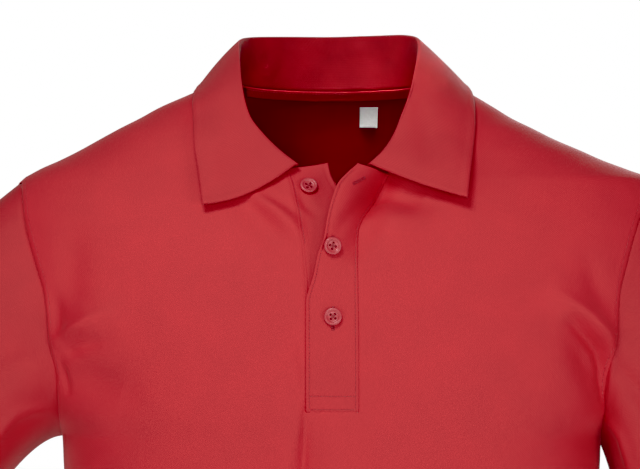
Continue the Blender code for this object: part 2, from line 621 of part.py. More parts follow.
def button_object(name, point, way, lift):
    """A four-hole button with a raised rim, turned about its own axis."""
    radius = BUTTON_DIAMETER / 2
    thick = BUTTON_THICK
    profile = (
        (0.0, thick * 0.62),
        (radius * 0.56, thick * 0.62),
        (radius * 0.68, thick * 0.92),
        (radius * 0.80, thick),
        (radius * 0.95, thick * 0.86),
        (radius, thick * 0.55),
        (radius * 0.94, thick * 0.12),
        (radius * 0.80, 0.0),
        (0.0, 0.0),
    )
    mesh = bpy.data.meshes.new(name)
    mesh.from_pydata(
        [(x, 0, z) for x, z in profile], [(i, i + 1) for i in range(len(profile) - 1)], []
    )
    shape = bpy.data.objects.new(name, mesh)
    COLLECTION.objects.link(shape)
    screw = shape.modifiers.new("turn", "SCREW")
    screw.axis = "Z"
    screw.steps = 24
    screw.render_steps = 24
    screw.use_merge_vertices = True
    screw.merge_threshold = 0.00005
    screw.use_smooth_shade = True
    holes = bpy.data.meshes.new(name + "_holes")
    points, faces = [], []
    for k in range(4):
        angle = math.pi / 4 + k * math.pi / 2
        cx = 0.0021 * math.cos(angle)
        cy = 0.0021 * math.sin(angle)
        start = len(points)
        sides = 10
        for level in (-thick, 2 * thick):
            for i in range(sides):
                turn = 2 * math.pi * i / sides
                points.append(
                    (
                        cx + BUTTON_HOLE / 2 * math.cos(turn),
                        cy + BUTTON_HOLE / 2 * math.sin(turn),
                        level,
                    )
                )
        for i in range(sides):
            j = (i + 1) % sides
            faces.append((start + i, start + j, start + sides + j, start + sides + i))
        faces.append(tuple(start + i for i in reversed(range(sides))))
        faces.append(tuple(start + sides + i for i in range(sides)))
    holes.from_pydata(points, [], faces)
    cutter = bpy.data.objects.new(name + "_holes", holes)
    CUTTERS.objects.link(cutter)
    cutter.hide_render = True
    cutter.display_type = "WIRE"
    cut = shape.modifiers.new("holes", "BOOLEAN")
    cut.operation = "DIFFERENCE"
    cut.solver = "EXACT"
    cut.object = cutter
    z_axis = Vector(way.tolist())
    x_axis = Vector((1, 0, 0))
    x_axis = (x_axis - z_axis * x_axis.dot(z_axis)).normalized()
    y_axis = z_axis.cross(x_axis)
    place = Matrix((x_axis, y_axis, z_axis)).transposed().to_4x4()
    place.translation = Vector((point + way * lift).tolist())
    shape.matrix_world = place
    cutter.matrix_world = place
    return shape


def on_sheet(grid, skip, x, z):
    """The height y of a panel's own flat facets at each x and z."""
    first, second = grid[:-1, :-1], grid[1:, :-1]
    third, fourth = grid[1:, 1:], grid[:-1, 1:]
    keep = ~skip
    corners = np.concatenate(
        [
            np.stack([first[keep], second[keep], third[keep]], axis=1),
            np.stack([first[keep], third[keep], fourth[keep]], axis=1),
        ]
    )
    a, b, c = corners[:, 0], corners[:, 1], corners[:, 2]
    size = (b[:, 0] - a[:, 0]) * (c[:, 2] - a[:, 2]) - (c[:, 0] - a[:, 0]) * (b[:, 2] - a[:, 2])
    size = np.where(np.abs(size) < 1e-12, 1e-12, size)
    found = []
    for px, pz in zip(x.ravel(), z.ravel()):
        u = ((px - a[:, 0]) * (c[:, 2] - a[:, 2]) - (c[:, 0] - a[:, 0]) * (pz - a[:, 2])) / size
        v = ((b[:, 0] - a[:, 0]) * (pz - a[:, 2]) - (px - a[:, 0]) * (b[:, 2] - a[:, 2])) / size
        best = np.minimum(np.minimum(u, v), 1 - u - v).argmax()
        y = a[best, 1] + u[best] * (b[best, 1] - a[best, 1]) + v[best] * (c[best, 1] - a[best, 1])
        found.append(y)
    return np.array(found).reshape(x.shape)


def inside_back(x, z, panel, skip, off):
    """A patch on the back's inner side, off from it by the given distance."""
    grid = np.stack([x, on_sheet(panel, skip, x, z), z], axis=-1)
    normal = normals_of(grid)
    normal *= np.where(normal[..., 1:2] < 0, -1, 1)
    return grid - normal * off


def paint(shape, name, colour, roughness, sheen=0.0):
    material = bpy.data.materials.new(name)
    material.use_nodes = True
    shader = material.node_tree.nodes["Principled BSDF"]
    shader.inputs["Base Color"].default_value = (*colour, 1)
    shader.inputs["Roughness"].default_value = roughness
    shader.inputs["Sheen Weight"].default_value = sheen
    shape.data.materials.append(material)


for leftover in list(bpy.data.objects):
    bpy.data.objects.remove(leftover, do_unlink=True)
COLLECTION = bpy.data.collections.new("polo_shirt")
bpy.context.scene.collection.children.link(COLLECTION)
CUTTERS = bpy.data.collections.new("cutters")
bpy.context.scene.collection.children.link(CUTTERS)
CUTTERS.hide_render = True

SLEEVE_AROUND = 28
ROWS = (9, 10, 12)
COLUMNS = 12


def from_axis(centres):
    look = centres.copy()
    look[:, 2] = 0
    return look


grid, skip = panel_grid(-1, ROWS, COLUMNS, 3)
front = sheet_object("front", folded(grid, -1), CLOTH, from_axis, skip)
paint(front, "front_knit", RED, 0.9, 0.4)

grid, back_skip = panel_grid(1, ROWS, COLUMNS, 3)
back_sheet = folded(grid, 1)
back = sheet_object("back", back_sheet, CLOTH, from_axis, back_skip)
paint(back, "back_knit", RED, 0.9, 0.4)

SLEEVE_ROWS = (0, 0.06, 0.14, 0.23, 0.33, 0.44, 0.56, 0.68, 0.8, 0.9, 1.0)
for name, side, spec in (("sleeve_left", -1, SLEEVE_LEFT), ("sleeve_right", 1, SLEEVE_RIGHT)):
    tube = sleeve_grid(side, spec, SLEEVE_ROWS)
    centre_line = tube.mean(axis=1)

    def from_sleeve(centres, line=centre_line):
        gap = np.linalg.norm(centres[:, None] - line[None], axis=2)
        return centres - line[gap.argmin(axis=1)]

    sleeve = sheet_object(name, tube, CLOTH, from_sleeve, None, True)
    paint(sleeve, name + "_knit", RED, 0.9, 0.4)

COLLAR_TURNS = np.linspace(0, 1, 45)
lines = collar_grid(COLLAR_TURNS, 3, 4, 5)


def from_collar(centres):
    return np.stack([0 * centres[:, 0], 0 * centres[:, 0], 1 + 0 * centres[:, 0]], axis=1)


collar = sheet_object("collar", lines, COLLAR_CLOTH, from_collar)
paint(collar, "collar_rib", RED, 0.85, 0.3)

SHARES = np.linspace(0, 1, 7)


def from_front(centres):
    return np.stack([0 * centres[:, 0], -1 + 0 * centres[:, 0], 0 * centres[:, 0]], axis=1)


STEPS = np.concatenate([np.linspace(0, 0.58, 15), np.linspace(0.58, 1, 6)[1:]])
for kind, name in (("upper", "placket_upper"), ("under", "placket_under")):
    band = sheet_object(name, band_grid(kind, STEPS, SHARES), BAND_CLOTH, from_front)
    paint(band, name + "_knit", RED, 0.9, 0.4)

for number, (x, z, kind) in enumerate(BUTTONS, 1):
    close = band_grid(kind, np.linspace(0.02, 0.8, 160), np.linspace(0, 1, 50))
    point, way = surface_at(close, x, z)
    button = button_object(f"button_{number}", point, way, LAP)
    paint(button, f"button_{number}_plastic", (0.5, 0.05, 0.065), 0.35)

BACKING = CLOTH + LAP + 0.0006
xs = np.linspace(-0.064, 0.064, 25)
neck = eased(column(NECK_BACK, 0), column(NECK_BACK, 1), np.abs(xs))
z = neck - 0.0012 - np.array([0, 0.0028, 0.0056])[:, None]
strip = inside_back(xs + 0 * z, z, back_sheet, back_skip, BACKING + TAPE_CLOTH)
tape = sheet_object("neck_tape", strip, TAPE_CLOTH, lambda centres: -from_axis(centres))
paint(tape, "neck_tape_twill", (0.4, 0.02, 0.03), 0.9)

z = np.linspace(-0.0170, -0.0293, 5)[:, None] + np.zeros(5)
x = np.linspace(0.0209, 0.0344, 5) + 0 * z
patch = inside_back(x, z, back_sheet, back_skip, BACKING + LABEL_CLOTH)
label = sheet_object("size_label", patch, LABEL_CLOTH, lambda centres: -from_axis(centres))
paint(label, "size_label_woven", (0.75, 0.74, 0.70), 0.8)
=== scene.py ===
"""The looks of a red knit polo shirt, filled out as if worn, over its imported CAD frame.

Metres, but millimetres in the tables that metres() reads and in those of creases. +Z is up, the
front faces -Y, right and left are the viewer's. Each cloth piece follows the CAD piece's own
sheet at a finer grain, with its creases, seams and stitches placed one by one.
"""

import math

import bpy
import numpy as np
from mathutils import Matrix, Vector


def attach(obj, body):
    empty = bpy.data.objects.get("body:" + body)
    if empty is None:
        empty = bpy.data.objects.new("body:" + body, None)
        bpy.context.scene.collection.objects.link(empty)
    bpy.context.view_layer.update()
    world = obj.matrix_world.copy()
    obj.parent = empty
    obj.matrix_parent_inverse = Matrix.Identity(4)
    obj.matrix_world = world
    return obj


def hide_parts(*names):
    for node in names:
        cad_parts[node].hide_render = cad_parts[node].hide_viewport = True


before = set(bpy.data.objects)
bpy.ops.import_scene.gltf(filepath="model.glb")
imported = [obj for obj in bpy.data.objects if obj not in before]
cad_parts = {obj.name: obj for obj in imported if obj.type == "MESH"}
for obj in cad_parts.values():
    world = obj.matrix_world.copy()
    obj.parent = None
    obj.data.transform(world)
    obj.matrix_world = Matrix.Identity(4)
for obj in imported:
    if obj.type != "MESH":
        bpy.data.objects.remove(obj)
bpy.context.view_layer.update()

MM = 0.001
FORWARD = (0, -1, 0)

CLOTH = 0.0016
COLLAR_CLOTH = 0.0017
BAND_CLOTH = 0.0014
TAPE_CLOTH = 0.0009
LABEL_CLOTH = 0.0006
SEAM = 0.0001
LAP = 0.0003
BACKING = CLOTH + LAP + 0.0006

# Hem: how deep and thick its turned layer is, and how far up its two stitched rows lie.
HEM_Z = -0.70
HEM_DEPTH = 0.021
HEM_LAYER = 0.0005
HEM_ROWS = (0.0172, 0.0204)
UNDERARM_Z = -0.26
BACK_STRIP_X = 0.014
SLIT_END_Z = -0.2372

# A seam's groove, and how far from it and how wide its ridge is.
GROOVE_WIDTH = 0.0012
RIDGE_PLACE = 0.0042
RIDGE_WIDTH = 0.0026
# Folds fade over this turn from the side seams and keep more than this share at their ends. Soft
# falls begin at this height. Creases fade over this margin from the armhole and side seams.
SIDE_EASE = 0.35
FOLD_END = 0.35
DRAPE_TOP_Z = -0.30
CREASE_MARGIN = 0.006
# The share of the armhole that belongs to the rows above the slit.
ARM_TOP = 9 / 19
SLIT_COLUMNS = 12
# How far from the armhole its row of stitches lies.
ARMHOLE_ROW = 0.0046


def metres(rows, plain=()):
    """A table written in millimetres, in metres; its plain columns hold no lengths."""
    table = np.array(rows, float)
    table[:, [i for i in range(table.shape[1]) if i not in plain]] *= MM
    return table


# The torso form: height, half width left, half width right, depth front, depth back, squareness.
FORM = metres((
    (0, 78, 78, 30, 30, 2.2), (-4, 86.8, 86, 38.5, 53.5, 2.2), (-11.5, 103, 100.5, 46, 66.5, 2.2),
    (-21.5, 125.8, 117.5, 53, 77, 2.2), (-29.5, 140.4, 130.5, 59, 84.5, 2.2),
    (-36.8, 154.9, 145.5, 64, 90, 2.2), (-44.8, 169.5, 161.5, 68.5, 95, 2.2),
    (-52.9, 184.1, 180.5, 72.5, 100, 2.2), (-60, 198.3, 196.5, 75.5, 104, 2.2),
    (-66.7, 213.3, 214.5, 78.5, 107, 2.2), (-74.7, 226.3, 234.5, 83, 110, 2.2),
    (-88, 238, 241, 91, 114, 2.2), (-104, 245, 245, 99, 118, 2.2),
    (-130, 248, 248, 108, 121.5, 2.2), (-153.5, 246, 246, 114.5, 123, 2.2),
    (-184.3, 237, 237, 120.5, 123, 2.22), (-218.4, 221.5, 221.5, 124, 121, 2.25),
    (-240, 209, 209, 124.8, 119, 2.28), (-260, 196.5, 195.5, 125, 116, 2.3),
    (-280, 195.5, 194.5, 125, 113, 2.3), (-350, 190.5, 190.5, 123, 106, 2.3),
    (-430, 186.5, 186.5, 119.5, 102, 2.3), (-520, 187.5, 187.5, 117.5, 106, 2.3),
    (-620, 192.5, 192.5, 118, 114, 2.3), (-700, 195, 195, 119, 117, 2.3),
), plain=(5,))

# Neck edges from the shoulder to the middle: distance from the middle, height.
NECK_FRONT_LEFT = metres((
    (78, 0), (76.5, -7), (74, -16), (69, -29), (60, -43), (48, -56), (33, -64.8),
))
NECK_FRONT_RIGHT = metres((
    (78, 0), (76.5, -7), (74, -16), (69, -29), (62, -41), (52, -55), (40.5, -66.5),
))
NECK_BACK = metres((
    (78, 0), (74, -2), (64, -4.2), (48, -6), (28, -7), (14, -7.5),
))
# Slit edges from the neck down: height, distance from the middle.
SLIT_LEFT = metres((
    (-64.8, 33), (-79.3, 28.3), (-104.1, 23.3), (-124.7, 20.4), (-154.8, 18.2), (-237.2, 18.2),
))
SLIT_RIGHT = metres((
    (-66.5, 40.5), (-80, 31), (-89.3, 26.2), (-99.9, 20.5), (-111.3, 17.2), (-134.5, 16.5),
    (-189.7, 17.1), (-237.2, 17.1),
))
# Armhole edges from the shoulder down: height, front left, front right, back.
ARMHOLE = metres((
    (-74.7, 226.3, 234.5, 230), (-88, 224, 227, 227.5), (-104, 221.4, 219.8, 223.5),
    (-136.3, 212, 209.8, 215.5), (-153.5, 206.7, 205.5, 210.5), (-184.3, 202.4, 202, 206),
    (-218.4, 198.3, 198.3, 201.5), (-240, 197.2, 196.8, 198.5), (-260, 196.5, 195.5, 196),
))
SHOULDER_Z = ARMHOLE[0, 0]

# Folds of the front and of the back: start x, start z, end x, end z, half width, height (- is in).
FOLDS_FRONT = metres((
    (41.5, -64, 17, -122, 10, -6), (60, -85, 33, -128, 17, 2.2), (-50, -85, -26, -113, 8.5, 3.5),
    (-70, -93, -30, -128, 9, -1.8), (-19, -240, -24, -430, 13, -4.5),
    (-30, -245, -56, -430, 15, 3.5), (-2, -260, 1, -480, 18, 2.8),
    (-190, -190, -166, -170, 17, 4.5), (-188, -212, -150, -225, 15, -5),
    (165, -156, 198, -190, 15, 4.5), (172, -180, 193, -226, 12, -6),
))
FOLDS_BACK = metres((
    (-170, -150, -125, -320, 20, -4.5), (165, -150, 130, -330, 20, -5),
    (-60, -260, -45, -460, 30, -4), (55, -290, 65, -480, 28, -3.5),
))
# Soft falls in the lower body: turn round the body from the right side, width, height at the hem.
DRAPES = metres((
    (0.42, 0.2, 9.5), (0.88, 0.17, -8.5), (1.3, 0.15, 7), (1.72, 0.14, -6), (2.1, 0.16, 8),
    (2.55, 0.2, -9), (2.98, 0.17, 8.5), (3.52, 0.2, -8), (3.95, 0.18, 9.5), (4.42, 0.2, -8.5),
    (4.9, 0.19, 9), (5.35, 0.18, -8), (5.85, 0.17, 7.5), (6.2, 0.15, -5.5),
), plain=(0, 1))
# Sleeve folds: side, turn round the sleeve from its top over the front, half width of that turn,
# middle along the sleeve, half length, height.
SLEEVE_FOLDS = metres((
    (-1, 0.55, 0.45, 0.85, 0.45, 4), (-1, 1.35, 0.4, 0.75, 0.4, -4.5),
    (-1, 2.25, 0.35, 0.6, 0.45, 4), (-1, 3.6, 0.45, 0.9, 0.4, -4.5), (-1, 4.6, 0.4, 0.7, 0.45, 4.5),
    (-1, 5.5, 0.4, 0.85, 0.4, -3.5), (1, 0.75, 0.45, 0.8, 0.45, 4), (1, 1.7, 0.35, 0.55, 0.4, -4.5),
    (1, 2.35, 0.3, 0.75, 0.45, 4.5), (1, 4, 0.45, 0.8, 0.4, -4.5), (1, 4.95, 0.4, 0.65, 0.45, 4.5),
    (1, 5.75, 0.35, 0.9, 0.4, -3.5),
), plain=(0, 1, 2, 3, 4))

# Collar, from the left front end round the back to the right one. Fold x, y, z and edge x, y, z,
# the turn of the neck edge below it (0 is the left front end, 1 the right one), then its sag.
COLLAR = metres((
    (-25.2, -81.5, -63.2, -92.4, -96.5, -92.2, 0, 16),
    (-29.8, -80, -60, -92.9, -94.5, -88.4, 0.018, 14),
    (-38.3, -75.5, -52.5, -94, -89.5, -80.8, 0.054, 8),
    (-48.4, -69, -42.5, -96.2, -79, -66, 0.097, 3),
    (-58.6, -60, -29, -99.2, -67.5, -47.5, 0.147, 0),
    (-63.2, -49, -14.5, -100, -53.5, -32.5, 0.192, 0), (-65.7, -34, 0.5, -101.2, -37, -18, 0.24, 0),
    (-67.2, -13, 15, -100.8, -11, -10, 0.295, 0), (-68.2, 13, 26, -99.5, 17, -7.5, 0.352, 0),
    (-65.5, 36, 31.5, -94.5, 44, -9, 0.405, 0), (-53, 56, 33.5, -74, 69, -11.5, 0.45, 0),
    (-30, 65.5, 34, -40, 81.5, -13, 0.477, 0), (-3, 68, 33.8, -3, 85, -13.5, 0.5, 0),
    (24, 65.5, 34.5, 34, 81.5, -13, 0.523, 0), (48, 56, 35, 70, 69, -11.5, 0.55, 0),
    (60.5, 36, 32.5, 92.5, 44, -9, 0.595, 0), (62.5, 13, 25.5, 100.5, 17, -7.5, 0.648, 0),
    (60.8, -13, 15, 102, -11, -12, 0.705, 0), (57.6, -34, 0.5, 102.8, -33, -21.5, 0.76, 0),
    (53.6, -49, -14.5, 102.4, -50, -34, 0.808, 0), (48, -60, -29, 100.8, -64, -48, 0.853, 0),
    (42.7, -69, -43, 98.5, -79, -62, 0.903, 1), (35.2, -75.5, -54.5, 96.8, -89.5, -74.5, 0.946, 4),
    (29.7, -80, -60.5, 95.8, -94.5, -83.5, 0.982, 6),
    (25.4, -81.5, -63.2, 95.3, -96.5, -87.3, 1, 7),
), plain=(6,))
COLLAR_FOLD_RADIUS = 0.0030
# Where the collar's neck edge starts and ends, as x and z.
COLLAR_ENDS = ((-0.0250, -0.0652), (0.0255, -0.0655))
COLLAR_COLUMNS = 260
STAND_STEPS, FOLD_STEPS, FALL_STEPS = 16, 12, 44

# Upper band: height, free edge x, how far the free edge stands forward.
UPPER_BAND = metres((
    (-64, 17, 12), (-69.6, 10.7, 14), (-77.4, 3.6, 15), (-88, -0.6, 14), (-102.1, -4.2, 11),
    (-115.5, -6.5, 8), (-126.7, -10.5, 5), (-144.9, -14.3, 2), (-161, -17.9, 0), (-237.2, -17.9, 0),
))
# Under band: height, free edge x, how far the free edge stands back.
UNDER_BAND = metres((
    (-62.5, -3.4, 5), (-70.8, -1.3, 5), (-77.9, 2.3, 4.5), (-86, 7, 3), (-102.1, 10.5, 1.2),
    (-120, 16, 0), (-237.2, 16.4, 0),
))

# How far the upper band stands proud of the form, how far both go past the slit's edges and
# end, their length, and how many columns in from an edge its stitches run.
BAND_PROUD = 0.0005
BAND_LAP = 0.0012
BAND_LENGTH = 0.17
STITCH_COLUMN = 4.5
# Heights of each band's top corners, at its seam and at its free edge.
BAND_TOPS = {"upper": (-0.0678, -0.0632), "under": (-0.0660, -0.0622)}

# Sleeves: the cuff's upper corner x, z, lower corner x, z, middle y, depth, then how far below
# level the cloth leaves the shoulder and the underarm, in degrees, and its pull at the underarm.
SLEEVE_LEFT = (-0.3650, -0.2630, -0.2620, -0.3300, -0.0100, 0.0560, 34.0, -8.0, 0.80)
SLEEVE_RIGHT = (0.3280, -0.2900, 0.2130, -0.3260, -0.0100, 0.0560, 26.0, 72.0, 0.45)
# How far inside the armhole a sleeve starts, at the shoulder and at the underarm, and how far
# its edge sinks there. The radius and length bring its creases to metres.
TUCK_TOP = 0.0016
TUCK_LOW = 0.0042
SLEEVE_SINK = 0.0009
SLEEVE_RADIUS = 0.06
SLEEVE_LENGTH = 0.17
SLEEVE_AROUND = 168

BUTTON_DIAMETER = 0.0128
BUTTON_THICK = 0.0026
BUTTON_HOLE = 0.0016
# Their holes lie on a ring of this radius.
HOLE_RING = 0.0021
# Buttons: x, z, the band each rests on, and its turn.
BUTTONS = (
    (-0.0172, -0.0800, "under", 0.25),
    (-0.0005, -0.1218, "upper", 0.55),
    (0.0000, -0.1715, "upper", 0.10),
)
# A button's section as shares of its radius and thickness, and a hole's as shares of its width
# and of the thickness.
BUTTON_PROFILE = (
    (0.0, 0.60), (0.30, 0.60), (0.50, 0.61), (0.60, 0.68), (0.66, 0.82), (0.72, 0.93),
    (0.80, 0.985), (0.87, 0.97), (0.94, 0.88), (0.985, 0.74), (1.0, 0.58), (0.985, 0.38),
    (0.93, 0.15), (0.86, 0.03), (0.80, 0.0), (0.40, 0.0), (0.0, 0.0),
)
HOLE_PROFILE = ((0, -1), (0.5, -1), (0.5, 0.50), (0.66, 0.66), (0.66, 2), (0, 2))
# Buttonholes: x, z, angle from level, length.
BUTTONHOLES = (
    (0.0185, -0.0757, 0.35, 0.0105),
    (0.0000, -0.1230, math.pi / 2, 0.0150),
    (0.0000, -0.1725, math.pi / 2, 0.0150),
)
BOX_HEIGHTS = (-0.2268, -0.2362)

# A buttonhole's bars of thread: length, width and height along its sides and at its ends, then
# how far apart they lie and how far from its middle line.
SIDE_BAR = (0.0011, 0.00042, 0.00036)
END_BAR = (0.0024, 0.00034, 0.00036)
SIDE_PITCH = 0.00042
END_PITCH = 0.00028
SLOT_HALF = 0.00065
# A button's thread and shank: length, width, height. Two threads lie this far off each middle line.
BUTTON_THREAD = (0.0046, 0.00045, 0.00045)
BUTTON_SHANK = (0.0030, 0.0022, 0.0016)
THREAD_OFF = 0.00022

# A stitch's rings as place along it and size, and how far stitches stray.
BEAD_RINGS = ((-1.0, 0.25), (-0.82, 0.72), (-0.35, 1.0), (0.35, 1.0), (0.82, 0.72), (1.0, 0.25))
BEAD_SIDES = 6
STITCH_WOBBLE = 0.00008
FINE_STITCH = {"pitch": 0.0021, "length": 0.0016, "width": 0.00045, "height": 0.00032}
# The tape: half its length, how far it reaches past the neck edge, its height. The label: its
# sides, its top and bottom, and how far its lower edge lifts.
TAPE_HALF = 0.064
TAPE_RISE = 0.0020
TAPE_HEIGHT = 0.0066
LABEL_X = (0.0209, 0.0344)
LABEL_Z = (-0.0170, -0.0293)
LABEL_LIFT = 0.0042

RED = (0.50, 0.0165, 0.0230)
KNIT_DEPTH = {"pique": 0.00004, "rib": 0.00005, "twill": 0.00010}

# Lights: name, place, aim, size, watts, spread in degrees.
LIGHTS = (
    ("key_light", (-0.32, -0.95, 0.95), (0.02, 0, -0.15), (0.5, 0.4), 10.2, 180),
    ("front_light", (0.2, -3.5, 0.1), (0, 0, -0.12), (1.2, 1.0), 24.5, 180),
    ("left_light", (-2.3, -2.4, -0.4), (-0.05, 0, -0.4), (1.2, 1.2), 12.5, 180),
    ("right_light", (2.2, -2.5, -0.4), (0.05, 0, -0.4), (1.2, 1.2), 23.5, 180),
    ("neck_light", (0.03, -0.9, 0.5), (0.025, 0.06, -0.02), (0.06, 0.06), 0.018, 8),
    ("back_light", (0.6, 3.3, 0.9), (0, 0, -0.3), (1.8, 1.4), 60.0, 180),
)
FLOOR_Z = -1.42
FLOOR_REACH = 4
CAMERA_PLACE = (-0.0091, -3.0, -0.11375)
SENSOR_WIDTH = 36.0
# In pixels of the photo, its focal length and width.
FOCAL_PIXELS = 4114
PHOTO_WIDTH = 640
# The photo's contrast: its weak green (1) and blue (2) fall away in the shade.
CONTRAST = {
    1: ((0.020, 0.001), (0.042, 0.041), (0.10, 0.10)),
    2: ((0.018, 0.003), (0.047, 0.047), (0.10, 0.10)),
}

# Creases, in millimetres: half width, height (- is in), then the line each follows as x and z.
CREASES_FRONT = (
    (5, 2.6, -21, -228, -25.2, -246.9, -33.6, -277.7, -45, -320, -56, -380),
    (2.6, -2.6, -19.6, -230.8, -19.6, -250.4, -21, -277.6, -25, -320, -27, -370),
    (6, -2, -32.2, -187.6, -28, -208.5, -22.4, -230.8),
    (12, 1.4, -36.5, -133.1, -35, -159.7, -33.6, -180.6),
    (4.2, 2.4, -57.9, -85.1, -48.7, -92.2, -37.3, -100, -26.7, -109.9),
    (3.8, -2.4, -50.2, -84.4, -37.4, -91.5, -25.3, -99.3),
    (6, -1.8, -65.7, -89.3, -50, -100.7, -34.5, -114.8),
    (3.6, -1.6, -24, -84.4, -19, -92.2, -12.6, -98.6),
    (5, -3, 42, -68.7, 25.6, -82.2, 12.1, -97.9, 1.5, -112.7),
    (6, 1.6, 46.1, -82.2, 31.9, -93.6, 19.1, -107.8), (11, -9.5, 28, -85, 40, -83.5, 66, -89),
    (5, -3.6, 35, -78, 27, -90, 18, -104),
    (5, 3.2, -196.2, -188.8, -184.3, -180.1, -173.3, -174.3, -160.3, -169.9),
    (6, -3, -198.3, -158.9, -195.3, -175.9, -191.7, -184.4),
    (11, -2.4, -184.1, -114.8, -185.8, -149.6, -186.5, -175.8),
    (7, -4.2, -191, -198.7, -179.2, -191.3, -163.1, -187.6),
    (2.2, -2, -194.9, -205.2, -190.7, -220.2, -189.3, -226.7),
    (6, 3.6, 160.5, -157.2, 182.3, -172.9, 202.6, -193.9),
    (5, -6.2, 171.3, -175.7, 183.8, -188.6, 191.3, -197.3, 196.1, -210.3, 196.8, -229.2),
    (8, -2, 182.6, -133.3, 186.8, -153.1, 194.1, -168.8), (11, -2.6, 70, -300, 56, -390, 52, -470),
    (12, 2.4, -110, -310, -98, -390, -102, -520), (9, 2.8, 150, -330, 132, -370, 105, -395),
    (10, -2.6, -155, -350, -135, -388, -108, -405), (13, 3, 20, -480, 26, -590, 23, -695),
    (10, -2.6, -70, -520, -66, -610, -72, -695), (12, -2.8, 120, -500, 126, -600, 123, -695),
)
CREASES_BACK = (
    (7, 3.4, -198, -185, -178, -193, -148, -206), (8, -3.6, -192, -208, -170, -220, -140, -242),
    (10, 2.6, -185, -245, -156, -270, -118, -310), (6.5, 3.6, 200, -188, 180, -199, 155, -204),
    (8, -3.4, 194, -214, 168, -230, 135, -256), (11, 2.4, 188, -255, 160, -285, 130, -335),
    (8, 1.6, -85, -35, -60, -52, -35, -58), (9, -1.6, 90, -38, 68, -56, 38, -64),
    (12, 2.4, -25, -290, -18, -370, -23, -470), (8, -2.2, 90, -360, 64, -390, 42, -402),
    (9, 2.4, -105, -375, -84, -398, -58, -412), (11, -2.8, 35, -500, 30, -600, 34, -695),
    (13, 3, -95, -510, -100, -600, -96, -695),
)
# Creases of the sleeves: side, half width and height in millimetres, then the line as turn from
# the top over the front and share of the way from armhole to cuff.
CREASES_SLEEVE = (
    (-1, 5, 2.6, 1.35, 0.3, 1.5, 0.55, 1.42, 0.86), (-1, 7, -2.6, 0.95, 0.35, 1.05, 0.6, 1.02, 0.8),
    (-1, 6, -3, 1.95, 0.15, 1.85, 0.5, 1.9, 0.82), (-1, 5, 2.4, 2.6, 0.1, 2.35, 0.35, 2.25, 0.7),
    (-1, 10, 1.8, 0.25, 0.2, 0.4, 0.5, 0.3, 0.75), (-1, 6, 3, 4.1, 0.1, 4.4, 0.45, 4.3, 0.8),
    (-1, 7, -2.8, 4.9, 0.15, 4.8, 0.5, 4.95, 0.85), (-1, 8, 2.2, 5.6, 0.3, 5.45, 0.55, 5.5, 0.8),
    (1, 5, 2.6, 1.3, 0.25, 1.42, 0.55, 1.36, 0.88), (1, 7, -2.4, 0.9, 0.3, 0.98, 0.6, 0.92, 0.85),
    (1, 6, -3.2, 2, 0.12, 1.86, 0.45, 1.9, 0.8), (1, 5, 2.4, 2.7, 0.1, 2.45, 0.38, 2.4, 0.75),
    (1, 6.5, 3, 4, 0.12, 4.3, 0.4, 4.25, 0.78), (1, 7, -2.8, 4.8, 0.2, 4.95, 0.55, 4.85, 0.85),
    (1, 8.5, 2, 5.7, 0.25, 5.6, 0.5, 5.72, 0.82),
)
# Soft places of the collar's leaves and of its stand, as the creases of the front.
CREASES_LEAF = (
    (9, -1.2, -68, -12, -70, -45, -72, -76), (9, -1.2, 62, -15, 66, -45, 70, -68),
    (8, 0.8, -86, -50, -85, -80), (8, 0.7, 88, -40, 90, -70),
)
CREASES_STAND = (
    (5, 1.6, -47, 5, -40, 20), (5, 1.2, -31, 21, -24, 26), (7, -1.2, -12, 12, -8, 24),
    (6, 1.4, 17, 23, 25, 29), (6, -1, 36, 6, 40, 20),
)


def hermite(t, begin, leave, end, arrive):
    """The curve between two places that leaves and arrives along the given ways."""
    return (
        begin * (1 + 2 * t) * (1 - t) ** 2
        + leave * t * (1 - t) ** 2
        + end * t * t * (3 - 2 * t)
        + arrive * t * t * (t - 1)
    )


def eased(keys, values, at):
    """A smooth curve through the given values that never swings past them."""
    if keys[0] > keys[-1]:
        keys, values = keys[::-1], values[::-1]
    at = np.clip(np.asarray(at, float), keys[0], keys[-1])
    step = np.diff(keys)
    rise = np.diff(values) / step
    slope = np.zeros(len(keys))
    same = rise[:-1] * rise[1:] > 0
    first = (2 * step[1:] + step[:-1])[same]
    second = (step[1:] + 2 * step[:-1])[same]
    slope[1:-1][same] = (first + second) / (first / rise[:-1][same] + second / rise[1:][same])
    slope[0], slope[-1] = rise[0], rise[-1]
    cell = np.clip(np.searchsorted(keys, at, side="right") - 1, 0, len(step) - 1)
    t = (at - keys[cell]) / step[cell]
    leave, arrive = slope[cell] * step[cell], slope[cell + 1] * step[cell]
    return hermite(t, values[cell], leave, values[cell + 1], arrive)


def bell(distance, width):
    """1 at no distance, fading smoothly to 0 beyond the width."""
    return np.exp(-((distance / width) ** 2))


def unit(vector):
    return vector / np.maximum(np.linalg.norm(vector, axis=-1, keepdims=True), 1e-12)


def square_to(vector, way):
    """The unit vector nearest to a vector that is square to a way."""
    return unit(vector - way * (vector * way).sum(axis=-1, keepdims=True))


def within_half_turn(angle):
    return (angle + math.pi) % (2 * math.pi) - math.pi


def run_along(grid, axis):
    """Distance along a line, or along each row or column of a grid, from its start."""
    step = np.linalg.norm(np.diff(grid, axis=axis), axis=-1)
    return np.insert(np.cumsum(step, axis=axis), 0, 0, axis=axis)


def along(line, shares):
    """Places at shares of the way along a line."""
    run = run_along(line, 0)
    return np.stack([eased(run, values, shares * run[-1]) for values in line.T], axis=1)


def form_at(z, side, face):
    """Half width, depth and squareness of the form; side -1 is left, face -1 is the front."""
    keys, left, right, front, rear, square = FORM.T
    width = np.where(side < 0, eased(keys, left, z), eased(keys, right, z))
    return width, eased(keys, front if face < 0 else rear, z), eased(keys, square, z)


